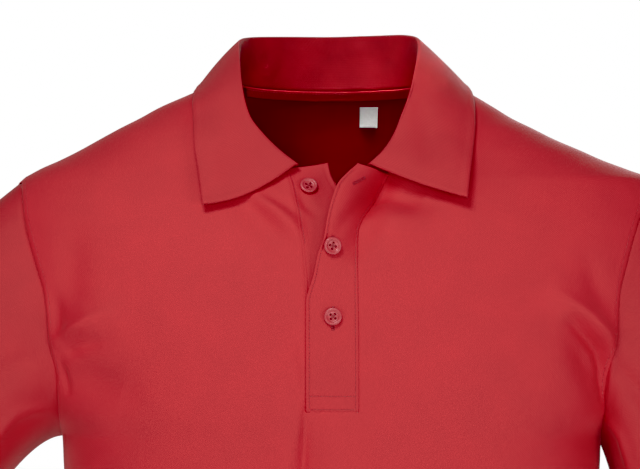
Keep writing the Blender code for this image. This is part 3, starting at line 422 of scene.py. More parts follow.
def turn_at(x, z, side, face):
    """The turn of a point on the form, 0 at the side and a quarter turn in the middle."""
    width, _, square = form_at(z, side, face)
    return np.arccos(np.clip(np.abs(x) / width, 0, 1) ** (square / 2))


def on_form(turn, z, side, face):
    width, depth, square = form_at(z, side, face)
    x = side * width * np.clip(np.cos(turn), 0, 1) ** (2 / square)
    y = face * depth * np.clip(np.sin(turn), 0, 1) ** (2 / square)
    return np.stack([x, y, z + 0 * x], axis=-1)


def form_y(x, z, face):
    """The form's depth at x and z, on its front or its back."""
    width, depth, square = form_at(z, np.sign(x), face)
    share = np.clip(1 - (np.abs(x) / width) ** square, 0, 1)
    return face * depth * share ** (1 / square)


def surface(x, z, face):
    return np.stack([x, form_y(x, z, face), z], axis=-1)


def normals_of(grid):
    """Unit normals of a grid of points."""
    return unit(np.cross(np.gradient(grid, axis=1), np.gradient(grid, axis=0)))


def outward(grid, look):
    """Unit normals of a grid turned towards the given look."""
    normal = normals_of(grid)
    return normal * np.where((normal * look).sum(axis=-1, keepdims=True) < 0, -1, 1)


def near_segment(x, z, x0, z0, x1, z1, width):
    """1 in the middle of a fold's line, lower at its ends and fading to 0 away from it."""
    run = (x1 - x0) ** 2 + (z1 - z0) ** 2
    t = np.clip(((x - x0) * (x1 - x0) + (z - z0) * (z1 - z0)) / run, 0, 1)
    gap = (x - x0 - t * (x1 - x0)) ** 2 + (z - z0 - t * (z1 - z0)) ** 2
    return np.exp(-gap / width**2) * (FOLD_END + (1 - FOLD_END) * np.sin(math.pi * (0.1 + 0.8 * t)))


def fold_height(points, face):
    """How far the cloth stands off the form at each point."""
    x, z = points[..., 0], points[..., 2]
    turn = turn_at(x, z, np.where(x < 0, -1, 1), face)
    ease = np.clip(turn / SIDE_EASE, 0, 1)
    ease = ease * ease * (3 - 2 * ease)
    height = 0 * x
    for *line, rise in FOLDS_FRONT if face < 0 else FOLDS_BACK:
        height = height + rise * near_segment(x, z, *line) * ease
    around = np.where(x < 0, math.pi - turn, turn)
    around = np.where(face < 0, 2 * math.pi - around, around)
    low = np.clip((DRAPE_TOP_Z - z) / (DRAPE_TOP_Z - HEM_Z), 0, 1) ** 1.3
    for middle, spread, rise in DRAPES:
        height = height + rise * low * bell(within_half_turn(around - middle), spread)
    return height


def crease_height(u, v, rows, scale=(MM, MM)):
    """Height of the creases at each place; the scale brings their places to the units of u and v."""
    total = 0 * u
    for width, rise, *line in rows:
        points = np.reshape(line, (-1, 2)) * scale
        starts = run_along(points, 0)
        nearest = np.full(u.shape, np.inf)
        share = 0 * u
        for (pu, pv), (wu, wv), start, stop in zip(points, np.diff(points, axis=0), starts, starts[1:]):
            t = np.clip(((u - pu) * wu + (v - pv) * wv) / (stop - start) ** 2, 0, 1)
            gap = (u - pu - t * wu) ** 2 + (v - pv - t * wv) ** 2
            share = np.where(gap < nearest, (start + t * (stop - start)) / starts[-1], share)
            nearest = np.minimum(gap, nearest)
        ends = np.sin(math.pi * (0.06 + 0.88 * share)) ** 0.6
        total = total + rise * MM * ends * np.exp(-nearest / (width * MM) ** 2)
    return total


def armhole_edge(side, face, shares):
    """Turn and height down the armhole, from the shoulder to the underarm."""
    which = 3 if face > 0 else (1 if side < 0 else 2)
    zs = shares - 0.06 * np.sin(2 * math.pi * shares)
    zs = SHOULDER_Z + (UNDERARM_Z - SHOULDER_Z) * zs
    turn = turn_at(eased(ARMHOLE[:, 0], ARMHOLE[:, which], zs), zs, side, face)
    turn[[0, -1]] = 0
    return np.stack([turn, zs], axis=1)


def off_seam(edge, side, face):
    """Keeps an edge a little off the line where two panels meet."""
    _, depth, square = form_at(edge[:, 1], side, face)
    edge[:, 0] = np.maximum(edge[:, 0], np.arcsin((SEAM / depth) ** (square / 2)))
    return edge


def seam_dip(distance, depth=0.0005, ridge=0.0002):
    """A seam's groove and the soft ridge of its turnings beside it."""
    groove = -depth * bell(distance, GROOVE_WIDTH)
    return groove + ridge * bell(distance - RIDGE_PLACE, RIDGE_WIDTH)


def hem_height(distance):
    """The hem's double layer, its two stitched rows pressed in."""
    layer = HEM_LAYER / (1 + np.exp(np.clip((distance - HEM_DEPTH) / 0.0007, -30, 30)))
    for row in HEM_ROWS:
        layer = layer - HEM_LAYER * bell(distance - row, 0.0009)
    return layer


def stand_off(grid, face, extra, held=1):
    """The grid moved off the form by its folds, its creases where held is 1, and extra heights."""
    normal = normals_of(grid)
    if (normal[..., 1] * face).sum() < 0:
        normal = -normal
    rows = CREASES_FRONT if face < 0 else CREASES_BACK
    creases = crease_height(grid[..., 0], grid[..., 2], rows) * held
    height = fold_height(grid, face) + creases + extra
    return grid + normal * height[..., None]


def spaced(count, ends, lead, last=True):
    """Shares from 0 to 1 with close steps in a lead at the start, and in one at the end if last."""
    high = 1 - lead if last else 1
    parts = [np.linspace(0, lead, ends + 1)[:-1], np.linspace(lead, high, count)]
    if last:
        parts.append(np.linspace(high, 1, ends + 1)[1:])
    return np.concatenate(parts)


# Steps of the grids, as shares: along a panel's neck edge, along its slit, from there to the
# hem, across half of it, down a sleeve, and down and across a band.
TOP_SHARES = np.concatenate([[0], np.geomspace(0.0001, 0.006, 7), spaced(50, 5, 0.05, False)[1:]])
CHEST_SHARES = np.linspace(0, 1, 92)
LOW_RUNS = ((0, 0.0065, 6), (0.0065, 0.12, 28), (0.12, 0.95, 56), (0.95, 1, 14))
LOW_SHARES = np.concatenate([np.linspace(*run)[1:] for run in LOW_RUNS])
COLUMN_SHARES = spaced(72, 5, 0.022)
SLEEVE_SHARES = spaced(64, 6, 0.035)
BAND_STEPS = np.concatenate([np.linspace(0, 0.6, 130), np.linspace(0.6, 1, 60)[1:]])
BAND_SHARES = spaced(24, 6, 0.09)


def fine_half(side, face):
    """Half a panel from its middle edge to the side, its dips and how far it keeps its creases."""
    if face < 0:
        neck = NECK_FRONT_LEFT if side < 0 else NECK_FRONT_RIGHT
        slit = SLIT_LEFT if side < 0 else SLIT_RIGHT
        second = along(slit[:, ::-1], CHEST_SHARES)[1:]
    else:
        neck = NECK_BACK
        down = neck[-1, 1] + (SLIT_END_Z - neck[-1, 1]) * CHEST_SHARES[1:]
        second = np.stack([BACK_STRIP_X + 0 * down, down], axis=1)
    down = SLIT_END_Z + (HEM_Z - SLIT_END_Z) * LOW_SHARES
    third = np.stack([second[-1, 0] + 0 * down, down], axis=1)
    x, z = np.concatenate([along(neck, TOP_SHARES), second, third]).T
    inner = np.stack([turn_at(x, z, side, face), z], axis=1)
    inner[0, 0] = 0
    arm_shares = np.concatenate([TOP_SHARES * ARM_TOP, ARM_TOP + CHEST_SHARES[1:] * (1 - ARM_TOP)])
    low = UNDERARM_Z + (HEM_Z - UNDERARM_Z) * LOW_SHARES
    outer = np.concatenate([armhole_edge(side, face, arm_shares), np.stack([0 * low, low], axis=1)])
    inner, outer = off_seam(inner, side, face), off_seam(outer, side, face)
    turns = inner[:, :1] + (outer[:, :1] - inner[:, :1]) * COLUMN_SHARES
    heights = inner[:, 1:] + (outer[:, 1:] - inner[:, 1:]) * COLUMN_SHARES
    grid = on_form(turns, heights, side, face)
    across = run_along(grid, 1)
    from_edge = across[:, -1:] - across
    dips = seam_dip(from_edge) + seam_dip(run_along(grid, 0), 0.0007, 0.0003)
    if face < 0:
        rows = np.arange(len(grid))[:, None]
        in_slit = (rows >= len(TOP_SHARES) - 1) & (rows < len(TOP_SHARES) + len(CHEST_SHARES))
        dips += np.where(in_slit, seam_dip(across, 0.0008, 0.0002), 0)
    return grid, dips, 1 - bell(from_edge, CREASE_MARGIN)


def fine_panel(face):
    """A whole panel, the quads that its slit leaves out, and its places on the flat cloth."""
    left = [part[:, ::-1] for part in fine_half(-1, face)]
    right = fine_half(1, face)
    steps = np.linspace(0, 1, SLIT_COLUMNS + 1)[1:-1, None]
    strip = left[0][:, -1:] + (right[0][:, :1] - left[0][:, -1:]) * steps
    x, z = strip[..., 0], strip[..., 2]
    middle = (surface(x, z, face), 0 * x, 0 * x + 1)
    grid, dips, held = (np.concatenate(parts, axis=1) for parts in zip(left, middle, right))
    skip = np.zeros((grid.shape[0] - 1, grid.shape[1] - 1), bool)
    rows = len(TOP_SHARES) - 1 + (len(CHEST_SHARES) - 1 if face < 0 else 0)
    columns = len(COLUMN_SHARES) - 1
    skip[:rows, columns : columns + SLIT_COLUMNS] = True
    height = dips + hem_height(grid[..., 2] - HEM_Z)
    return stand_off(grid, face, height, held), skip, panel_uv(grid, face)


def panel_uv(grid, face):
    """Metres round the form from its middle, and metres down it."""
    x, z = grid[..., 0], grid[..., 2]
    side = np.where(x < 0, -1, 1)
    turn = turn_at(x, z, side, face)
    turns = math.pi / 2 + (turn[..., None] - math.pi / 2) * np.linspace(0, 1, 33)
    points = on_form(turns, z[..., None] + 0 * turns, side[..., None], face)
    across = np.linalg.norm(np.diff(points, axis=-2), axis=-1).sum(axis=-1) * side
    levels = np.linspace(0, HEM_Z, 400)
    fall = run_along(np.stack([levels, form_y(0 * levels + 0.06, levels, face)], axis=1), 0)
    return np.stack([across, -np.interp(-z, -levels, fall)], axis=-1)


def grid_uv(grid):
    """Metres across and down a grid."""
    across = run_along(grid, 1).mean(axis=0)
    down = run_along(grid, 0).mean(axis=1)
    return np.stack(np.broadcast_arrays(across[None, :], -down[:, None]), axis=-1)


def add_object(name, data):
    made = bpy.data.objects.new(name, data)
    bpy.context.scene.collection.objects.link(made)
    return made


def quads_of(index):
    """The corners of each cell of a grid of numbers."""
    corners = (index[:-1, :-1], index[1:, :-1], index[1:, 1:], index[:-1, 1:])
    return np.stack(corners, axis=-1).reshape(-1, 4)


def sheet_piece(name, grid, uv, thickness, facing, skip=None, ring=False, inner=True):
    """An open sheet thickened inwards; facing says where its outer side looks."""
    if ring:
        grid = np.concatenate([grid, grid[:, :1]], axis=1)
    index = np.arange(grid.shape[0] * grid.shape[1]).reshape(grid.shape[:2])
    quads = quads_of(index) if skip is None else quads_of(index)[~skip.ravel()]
    face_uv = uv.reshape(-1, 2)[quads]
    if ring:
        index[:, -1] = index[:, 0]
        quads = quads_of(index)
    points = grid.reshape(-1, 3)
    places = points[quads]
    flat = np.cross(places[:, 2] - places[:, 0], places[:, 3] - places[:, 1])
    look = facing(places.mean(axis=1)) if callable(facing) else facing
    if (flat * look).sum() < 0:
        quads, face_uv = quads[:, ::-1], face_uv[:, ::-1]
    used, renamed = np.unique(quads, return_inverse=True)
    mesh = bpy.data.meshes.new(name)
    mesh.from_pydata(points[used].tolist(), [], renamed.reshape(-1, 4).tolist())
    layer = mesh.uv_layers.new(name="cloth")
    layer.data.foreach_set("uv", face_uv.reshape(-1).astype(np.float32))
    mesh.update()
    mesh.shade_smooth()
    piece = add_object(name, mesh)
    wall = piece.modifiers.new("wall", "SOLIDIFY")
    wall.thickness = thickness
    wall.offset = -1
    wall.use_even_offset = False
    wall.use_rim = True
    wall.material_offset = 1 if inner else 0
    return piece


def from_axis(centres):
    """Level ways from the upright axis through the middle of the shirt."""
    return centres * (1, 1, 0)


def to_axis(centres):
    return -from_axis(centres)


def from_line(line):
    """Ways from the nearest point of a line."""

    def look(centres):
        gap = np.linalg.norm(centres[:, None] - line[None], axis=2)
        return centres - line[gap.argmin(axis=1)]

    return look


def edge_ring(side):
    """The armhole's closed loop: down the front from the shoulder, then up the back."""
    shares = np.linspace(0, 1, SLEEVE_AROUND // 2 + 1)
    front, back = (on_form(*armhole_edge(side, face, shares).T, side, face) for face in (-1, 1))
    return np.concatenate([front, back[-2:0:-1]])


def ring_directions(loop, side):
    """Ways out of the armhole, and each point's height in it from 0 at the underarm to 1."""
    tangent = np.roll(loop, -1, axis=0) - np.roll(loop, 1, axis=0)
    share = np.clip((loop[:, 2:] - UNDERARM_Z) / (SHOULDER_Z - UNDERARM_Z), 0, 1)
    depth = loop[:, 1:2] - loop[:, 1].mean()
    away = np.hstack([side * (0.055 + 0.02 * share), 0.10 * depth, 0 * share])
    return square_to(away, unit(tangent)), share


def sleeve_grid(side, spec):
    """Rings from the armhole to the cuff."""
    top_x, top_z, low_x, low_z, mid_y, depth, slope, dip, hold = spec
    loop = edge_ring(side)
    away, share = ring_directions(loop, side)
    turn = np.arange(len(loop)) / len(loop) * 2 * math.pi
    upper, lower = np.array([top_x, mid_y, top_z]), np.array([low_x, mid_y, low_z])
    reach = (upper - lower) / 2
    axis = np.array([reach[2], 0, -reach[0]]) / np.linalg.norm(reach)
    if axis[2] > 0:
        axis = -axis
    cuff = (upper + lower) / 2 + np.cos(turn)[:, None] * reach
    cuff[:, 1] -= depth * np.sin(turn)
    out, steep = (np.array([side * math.cos(a), 0, -math.sin(a)]) for a in np.radians((slope, dip)))
    start = share**2 * out + (1 - share**2) * steep + away * 0.6 * (1 - share)
    start[:, 1] += away[:, 1] * 0.5
    begin = loop - away * (TUCK_TOP + (TUCK_LOW - TUCK_TOP) * (1 - share))
    run = np.linalg.norm(cuff - begin, axis=1, keepdims=True)
    leave = (0.95 * share + hold * (1 - share)) * run * unit(start)
    grid = np.array([hermite(t, begin, leave, cuff, 0.9 * run * axis) for t in SLEEVE_SHARES])
    normal = normals_of(np.concatenate([grid[:, -1:], grid, grid[:, :1]], axis=1))[:, 1:-1]
    from_centre = grid - grid.mean(axis=1, keepdims=True)
    normal *= np.sign((normal * from_centre).sum(axis=(1, 2)))[:, None, None]
    down = SLEEVE_SHARES[:, None]
    height = 0 * turn + 0 * down
    for which, around, spread, middle, length, rise in SLEEVE_FOLDS:
        if which == side:
            ends = bell(down - middle, length) * np.clip(down / 0.2, 0, 1)
            height += rise * ends * bell(within_half_turn(turn - around), spread)
    rows = [row[1:] for row in CREASES_SLEEVE if row[0] == side]
    u, v = np.broadcast_arrays(SLEEVE_RADIUS * turn, SLEEVE_LENGTH * down)
    height += crease_height(u, v, rows, (SLEEVE_RADIUS, SLEEVE_LENGTH))
    fall = run_along(grid, 0)
    height += seam_dip(fall - TUCK_TOP, 0.0007) + hem_height(fall[-1:] - fall)
    height -= SLEEVE_SINK * bell(fall, 0.0011)
    return grid + normal * height[..., None]


def neck_ring():
    """Neck edge points from the left front end round to the right one, with their turns."""
    first, last = (surface(x, z, -1) for x, z in COLLAR_ENDS)
    runs = (
        (NECK_FRONT_LEFT[::-1], -1, -1),
        (NECK_BACK[1:], -1, 1),
        (NECK_BACK[-2:0:-1], 1, 1),
        (NECK_FRONT_RIGHT, 1, -1),
    )
    points = [first]
    for edge, side, face in runs:
        for x, z in edge:
            turn = turn_at(x, z, side, face) if x < NECK_FRONT_LEFT[0, 0] else 0
            points.append(on_form(turn, z, side, face))
    points = np.array(points + [last])
    run = run_along(points, 0)
    return points, run / run[-1]


def collar_grid():
    """Sections of the collar: up the stand, over the fold and down the fall."""
    turns = np.linspace(0, 1, COLLAR_COLUMNS)
    run = run_along(COLLAR[:, :3], 0) + run_along(COLLAR[:, 3:6], 0)
    rows = np.stack([eased(run / run[-1], values, turns) for values in COLLAR.T], axis=1)
    fold, edge = rows[:, :3], rows[:, 3:6]
    ring, ring_turn = neck_ring()
    base = np.stack([eased(ring_turn, values, rows[:, 6]) for values in ring.T], axis=1)
    up = unit(fold - base)
    out = square_to(edge - fold, up)
    radius = COLLAR_FOLD_RADIUS
    centre = fold - up * radius + out * radius * 0.6
    reach = edge - centre
    bend = np.arctan2((reach * out).sum(axis=1), (reach * up).sum(axis=1))
    bend = np.clip(bend - 0.16, 0.6, 3.0)
    first = base + up * (LAP + 0.0003)
    begin = centre - out * radius
    lines = [first + (begin - first) * t for t in np.linspace(0, 1, STAND_STEPS + 1)[:-1]]
    for t in np.linspace(0, 1, FOLD_STEPS + 1):
        angle = (bend * t)[:, None]
        lines.append(centre - out * radius * np.cos(angle) + up * radius * np.sin(angle))
    end = lines[-1]
    way = out * np.sin(bend)[:, None] + up * np.cos(bend)[:, None]
    control = end + way * np.linalg.norm(edge - end, axis=1, keepdims=True) * 0.5
    control[:, 2] -= rows[:, 7]
    for t in np.linspace(0, 1, FALL_STEPS + 1)[1:]:
        lines.append((1 - t) ** 2 * end + 2 * t * (1 - t) * control + t * t * edge)
    grid = np.array(lines)
    # The sections near the two front ends are evened out along the collar.
    share = np.clip((np.abs(turns - 0.5) - 0.41) / 0.03, 0, 1)[None, 1:-1, None]
    for _ in range(45):
        even = (grid[:, :-2] + 2 * grid[:, 1:-1] + grid[:, 2:]) / 4
        grid[:, 1:-1] += (even - grid[:, 1:-1]) * share
    normal = normals_of(grid)
    if normal[-1, :, 2].sum() < 0:
        normal = -normal
    x, y, z = grid[..., 0], grid[..., 1], grid[..., 2]
    step = np.arange(len(grid))[:, None]
    on_fall = np.clip((step - STAND_STEPS - FOLD_STEPS) / 6, 0, 1)
    on_stand = np.clip((STAND_STEPS - step) / 4, 0, 1)
    height = on_fall * (y < 0.03) * crease_height(x, z, CREASES_LEAF)
    height += on_stand * (y > 0.02) * crease_height(x, z, CREASES_STAND)
    # The knitted edge stands a little proud.
    down, across = run_along(grid, 0), run_along(grid, 1)
    to_end = np.minimum(across, across[:, -1:] - across)
    height += 0.0005 * bell(down[-1:] - down - 0.0030, 0.0022)
    height += on_fall * 0.0004 * bell(to_end - 0.0025, 0.0018)
    return grid + normal * height[..., None]


def band_grid(kind):
    """A placket band from its seam at the slit to its free edge, from its top to its end."""
    is_upper = kind == "upper"
    table, slit, side = (UPPER_BAND, SLIT_RIGHT, 1) if is_upper else (UNDER_BAND, SLIT_LEFT, -1)
    seam_top, free_top = BAND_TOPS[kind]
    end = SLIT_END_Z - BAND_LAP
    at_seam = seam_top + (end - seam_top) * BAND_STEPS
    at_free = free_top + (end - free_top) * BAND_STEPS
    free = eased(table[:, 0], table[:, 1], at_free)
    stand = eased(table[:, 0], table[:, 2], at_free)
    seam = side * (eased(slit[:, 0], slit[:, 1], at_seam) + BAND_LAP)
    level = BAND_PROUD
    if is_upper:
        # It is wider from a little above the lowest button down.
        free = free - BAND_LAP * np.clip((-0.14 - at_free) / 0.02, 0, 1)
    else:
        # It lies under the upper band and rises beside its seam.
        level = level - BAND_CLOTH - LAP + 0.0010 * bell(BAND_SHARES, 0.10)[:, None]
    x = seam[:, None] + (free - seam)[:, None] * BAND_SHARES
    z = at_seam[:, None] + (at_free - at_seam)[:, None] * BAND_SHARES**1.5
    grid = stand_off(surface(x, z, -1), -1, 0)
    grid = grid + outward(grid, FORWARD) * level
    grid[..., 1] -= side * stand[:, None] * np.sin(BAND_SHARES * math.pi / 2) ** 1.3
    across = run_along(grid, 1)
    free_side = across[:, -1:] - across
    end_gap = (1 - BAND_STEPS)[:, None] * BAND_LENGTH
    height = 0 * across - 0.0007 * bell(end_gap, 0.0007)
    if is_upper:
        height -= 0.0007 * bell(across, 0.0007)
        in_box = (across > 0.0025) & (free_side > 0.0022)
        for row in (0.0016, 0.0108):
            height -= 0.00035 * bell(end_gap - row, 0.0006) * in_box
    height -= 0.0003 * bell(across - 0.0022, 0.0006)
    height += 0.00035 * bell(free_side - 0.0010, 0.0009)
    height -= 0.0003 * bell(free_side - 0.0030, 0.0009)
    return grid + outward(grid, FORWARD) * height[..., None]


def at_grid(grid, rows, columns):
    """Points of a grid at fractional rows and columns."""
    rows, columns = np.broadcast_arrays(np.asarray(rows, float), np.asarray(columns, float))
    i = np.clip(rows.astype(int), 0, grid.shape[0] - 2)
    j = np.clip(columns.astype(int), 0, grid.shape[1] - 2)
    a, b = (rows - i)[:, None], (columns - j)[:, None]
    upper = grid[i, j] * (1 - b) + grid[i, j + 1] * b
    lower = grid[i + 1, j] * (1 - b) + grid[i + 1, j + 1] * b
    return upper * (1 - a) + lower * a


def sample(at, run, values):
    """The values at a distance along a line, column by column."""
    return np.array([np.interp(at, run, column) for column in values.T])


class Nodes:
    """A short way to write a material's nodes."""

    def __init__(self, name):
        self.material = bpy.data.materials.new(name)
        self.material.use_nodes = True
        self.tree = self.material.node_tree
        self.shader = self.tree.nodes["Principled BSDF"]

    def set(self, values):
        """Sets the shader's own sockets."""
        for socket, value in values.items():
            self.shader.inputs[socket].default_value = value

    def add(self, kind, **settings):
        node = self.tree.nodes.new(kind)
        for key, value in settings.items():
            setattr(node, key, value)
        return node

    def link(self, source, target):
        self.tree.links.new(source, target)

    def math(self, operation, *values):
        node = self.add("ShaderNodeMath", operation=operation)
        for value, socket in zip(values, node.inputs):
            if isinstance(value, (int, float)):
                socket.default_value = value
            else:
                self.link(value, socket)
        return node.outputs[0]

    def times(self, first, second):
        return self.math("MULTIPLY", first, second)

    def plus(self, first, second):
        return self.math("ADD", first, second)

    def wave(self, value, period):
        return self.math("SINE", self.times(value, 2 * math.pi / period))

    def noise(self, scale, detail=2.0):
        node = self.add("ShaderNodeTexNoise")
        node.inputs["Scale"].default_value = scale
        node.inputs["Detail"].default_value = detail
        place = self.add("ShaderNodeTexCoord")
        self.link(place.outputs["Object"], node.inputs["Vector"])
        return node.outputs["Fac"]

    def uv(self):
        place = self.add("ShaderNodeUVMap", uv_map="cloth")
        split = self.add("ShaderNodeSeparateXYZ")
        self.link(place.outputs["UV"], split.inputs[0])
        return split.outputs[0], split.outputs[1]

    def colour(self, low, high, factor):
        ramp = self.add("ShaderNodeValToRGB")
        ramp.color_ramp.elements[0].color = (*low, 1)
        ramp.color_ramp.elements[1].color = (*high, 1)
        self.link(factor, ramp.inputs["Fac"])
        self.link(ramp.outputs["Color"], self.shader.inputs["Base Color"])

    def bump(self, height, distance):
        node = self.add("ShaderNodeBump")
        node.inputs["Distance"].default_value = distance
        node.inputs["Strength"].default_value = 1.0
        self.link(height, node.inputs["Height"])
        self.link(node.outputs["Normal"], self.shader.inputs["Normal"])


def tint(colour, share):
    return tuple(min(1.0, c * share) for c in colour)


def knit(name, colour, kind="pique", rough=0.78, sheen=0.10, specular=0.5, uneven=0.09):
    """Cotton knit: cells in two directions, ribs, or slanting lines, with fine fuzz over them."""
    nodes = Nodes(name)
    u, v = nodes.uv()
    if kind == "pique":
        cells = nodes.times(nodes.wave(u, 0.0019), nodes.wave(v, 0.0016))
        height = nodes.plus(cells, nodes.times(nodes.wave(u, 0.00095), 0.35))
    elif kind == "rib":
        height = nodes.plus(nodes.wave(u, 0.0013), nodes.times(nodes.wave(v, 0.0010), 0.25))
    else:
        slant = nodes.wave(nodes.plus(u, v), 0.0011)
        height = nodes.plus(slant, nodes.times(nodes.wave(u, 0.0005), 0.4))
    fine = nodes.noise(1500.0)
    nodes.bump(nodes.plus(height, nodes.times(fine, 0.9)), KNIT_DEPTH[kind])
    uneven_shade = nodes.times(nodes.math("SUBTRACT", fine, 0.5), 0.3)
    shade = nodes.plus(nodes.noise(38.0, 3.0), uneven_shade)
    nodes.colour(tint(colour, 1 - uneven), tint(colour, 1 + uneven), shade)
    nodes.set({"Roughness": rough, "Specular IOR Level": specular, "Sheen Weight": sheen})
    nodes.set({"Sheen Roughness": 0.45, "Sheen Tint": (1.0, 0.55, 0.55, 1)})
    return nodes.material


def thread(name, colour):
    nodes = Nodes(name)
    twist = nodes.noise(2600.0, 1.0)
    nodes.bump(twist, 0.00008)
    nodes.colour(tint(colour, 0.85), tint(colour, 1.1), twist)
    nodes.set({"Roughness": 0.55, "Sheen Weight": 0.15})
    return nodes.material


def plastic(name, colour):
    nodes = Nodes(name)
    nodes.bump(nodes.noise(900.0, 1.0), 0.00003)
    nodes.colour(tint(colour, 0.90), tint(colour, 1.10), nodes.noise(420.0, 3.0))
    nodes.set({"Roughness": 0.38, "Specular IOR Level": 0.55})
    nodes.set({"Coat Weight": 0.15, "Coat Roughness": 0.25})
    return nodes.material


def woven(name, colour):
    nodes = Nodes(name)
    u, v = nodes.uv()
    nodes.bump(nodes.times(nodes.wave(u, 0.0006), nodes.wave(v, 0.0006)), 0.00006)
    nodes.colour(tint(colour, 0.88), tint(colour, 1.06), nodes.noise(300.0, 3.0))
    nodes.set({"Roughness": 0.6, "Sheen Weight": 0.1})
    return nodes.material


PIQUE = knit("pique_red", RED)
# The cloth's inner side is a much darker copy of the same red: painted shade for the dark inside of the
# shirt.
INSIDE_SHADE_PAINTED = knit("pique_red_inside_painted_shade", tint(RED, 0.48), "pique", 0.9, 0.02, 0.2)
RIB = knit("collar_rib_red", tint(RED, 0.91), "rib")
# The collar's inner side is a darker copy of its rib: painted shade.
RIB_INSIDE_SHADE_PAINTED = knit("collar_rib_red_inside_painted_shade", tint(RED, 0.62), "rib", 0.85, 0.03, 0.3)
# The stand's inner face is a much darker copy of the rib with strong blotches: painted shade and
# painted uneven shade.
STAND_SHADE_PAINTED = knit("collar_stand_red_painted_shade", tint(RED, 0.56), "rib", 0.85, 0.03, 0.3, 0.45)
BAND = knit("band_red", tint(RED, 0.96))
# The sleeves are a darker copy of the body's knit: painted shade for their sides turned from the light.
SLEEVE_SHADE_PAINTED = knit("sleeve_red_painted_shade", tint(RED, 0.86))
TWILL = knit("tape_red", (0.70, 0.022, 0.034), "twill", 0.8, 0.05, 0.4)
THREAD = thread("thread_red", (0.44, 0.014, 0.022))
THREAD_LIGHT = thread("thread_light_red", (0.80, 0.070, 0.09))
THREAD_DARK = thread("thread_deep_red", (0.34, 0.004, 0.012))
PLASTIC = plastic("button_red", (0.46, 0.032, 0.044))
LABEL = woven("label_white", (0.97, 0.95, 0.93))


def dress(piece, material, inner=None, node=None):
    piece.data.materials.append(material)
    if inner is not None:
        piece.data.materials.append(inner)
    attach(piece, "root")
    if node:
        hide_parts(node)
    return piece


class Seams:
    """Gathers stitches, each a small raised bead of thread, into one piece."""

    def __init__(self, name):
        self.name = name
        self.points = []
        self.faces = []
        self.count = 0

    def bead(self, centre, way, up, length, width, height):
        side = np.cross(up, way)
        turns = np.arange(BEAD_SIDES)[:, None] / BEAD_SIDES * 2 * math.pi
        for place, size in BEAD_RINGS:
            middle = centre + way * length / 2 * place + up * height / 2 * (1 - place * place)
            round_it = np.cos(turns) * side * width / 2 + np.sin(turns) * up * height / 2
            self.points.append(middle + round_it * size)
        last = self.count + (len(BEAD_RINGS) - 1) * BEAD_SIDES
        corners = range(BEAD_SIDES)
        for a in range(self.count, last, BEAD_SIDES):
            for k in corners:
                n = (k + 1) % BEAD_SIDES
                self.faces.append((a + k, a + n, a + BEAD_SIDES + n, a + BEAD_SIDES + k))
        self.faces.append(tuple(self.count + k for k in reversed(corners)))
        self.faces.append(tuple(last + k for k in corners))
        self.count = last + BEAD_SIDES

    def row(self, grid, ups, rows, columns, pitch=0.0028, length=0.0021, width=0.00055, height=0.0004):
        """A row of stitches along a line of a grid, standing up from it."""
        points, ups = at_grid(grid, rows, columns), at_grid(ups, rows, columns)
        run = run_along(points, 0)
        for k in range(int(run[-1] / pitch)):
            at = (k + 0.5) * pitch
            first, last = (sample(end, run, points) for end in (at - length / 2, at + length / 2))
            way = unit(last - first)
            up = square_to(unit(sample(at, run, ups)), way)
            centre = (first + last) / 2 + np.cross(up, way) * STITCH_WOBBLE * math.sin(k * 2.4)
            self.bead(centre, way, up, length, width, height)

    def make(self, material):
        mesh = bpy.data.meshes.new(self.name)
        mesh.from_pydata(np.concatenate(self.points).tolist(), [], self.faces)
        mesh.shade_smooth()
        dress(add_object(self.name, mesh), material)


# The cloth pieces.
front_grid, front_skip, front_uv = fine_panel(-1)
front = sheet_piece("front_cloth", front_grid, front_uv, CLOTH, from_axis, front_skip)
dress(front, PIQUE, INSIDE_SHADE_PAINTED, "front")
back_grid, back_skip, back_uv = fine_panel(1)
back = sheet_piece("back_cloth", back_grid, back_uv, CLOTH, from_axis, back_skip)
dress(back, PIQUE, INSIDE_SHADE_PAINTED, "back")

sleeves = {}
for name, side, spec in (("sleeve_left", -1, SLEEVE_LEFT), ("sleeve_right", 1, SLEEVE_RIGHT)):
    tube = sleeve_grid(side, spec)
    closed = np.concatenate([tube, tube[:, :1]], axis=1)
    look = from_line(tube.mean(axis=1))
    sleeve = sheet_piece(name + "_cloth", tube, grid_uv(closed), CLOTH, look, ring=True)
    dress(sleeve, SLEEVE_SHADE_PAINTED, INSIDE_SHADE_PAINTED, name)
    sleeves[name] = (sleeve, closed)

collar_lines = collar_grid()
collar = sheet_piece("collar_cloth", collar_lines, grid_uv(collar_lines), COLLAR_CLOTH, (0, 0, 1))
dress(collar, RIB, RIB_INSIDE_SHADE_PAINTED, "collar")
# The stand's rows and the lower half of the fold take the stand's darker copy, its painted shade.
collar.data.materials.append(STAND_SHADE_PAINTED)
face_rows = np.arange(len(collar.data.polygons)) // (COLLAR_COLUMNS - 1)
stand_painted_shade = face_rows < STAND_STEPS + FOLD_STEPS // 2
collar.data.polygons.foreach_set("material_index", np.where(stand_painted_shade, 2, 0).astype(np.int32))

bands = {}
for kind in ("upper", "under"):
    grid = band_grid(kind)
    piece = sheet_piece(f"placket_{kind}_cloth", grid, grid_uv(grid), BAND_CLOTH, FORWARD)
    dress(piece, BAND, INSIDE_SHADE_PAINTED, f"placket_{kind}")
    bands[kind] = (piece, grid)
upper, under = bands["upper"][1], bands["under"][1]
upper_up, under_up = outward(upper, FORWARD), outward(under, FORWARD)


def near_point(grid, ups, x, z, width):
    """A grid's place and outward way near x and z, averaged over a width."""
    gap = (grid[..., 0] - x) ** 2 + (grid[..., 2] - z) ** 2
    weight = np.exp(-gap / width**2)[..., None]
    weight /= weight.sum()
    return (grid * weight).sum(axis=(0, 1)), unit((ups * weight).sum(axis=(0, 1)))


def button_seat(grid, ups, x, z):
    """The place and outward way of a button that rests on a band."""
    point, way = near_point(grid, ups, x, z, 0.0040)
    point[[0, 2]] = x, z
    reach = np.linalg.norm(grid - point, axis=-1) < BUTTON_DIAMETER / 2
    return point + way * ((grid - point)[reach] @ way).max(), way


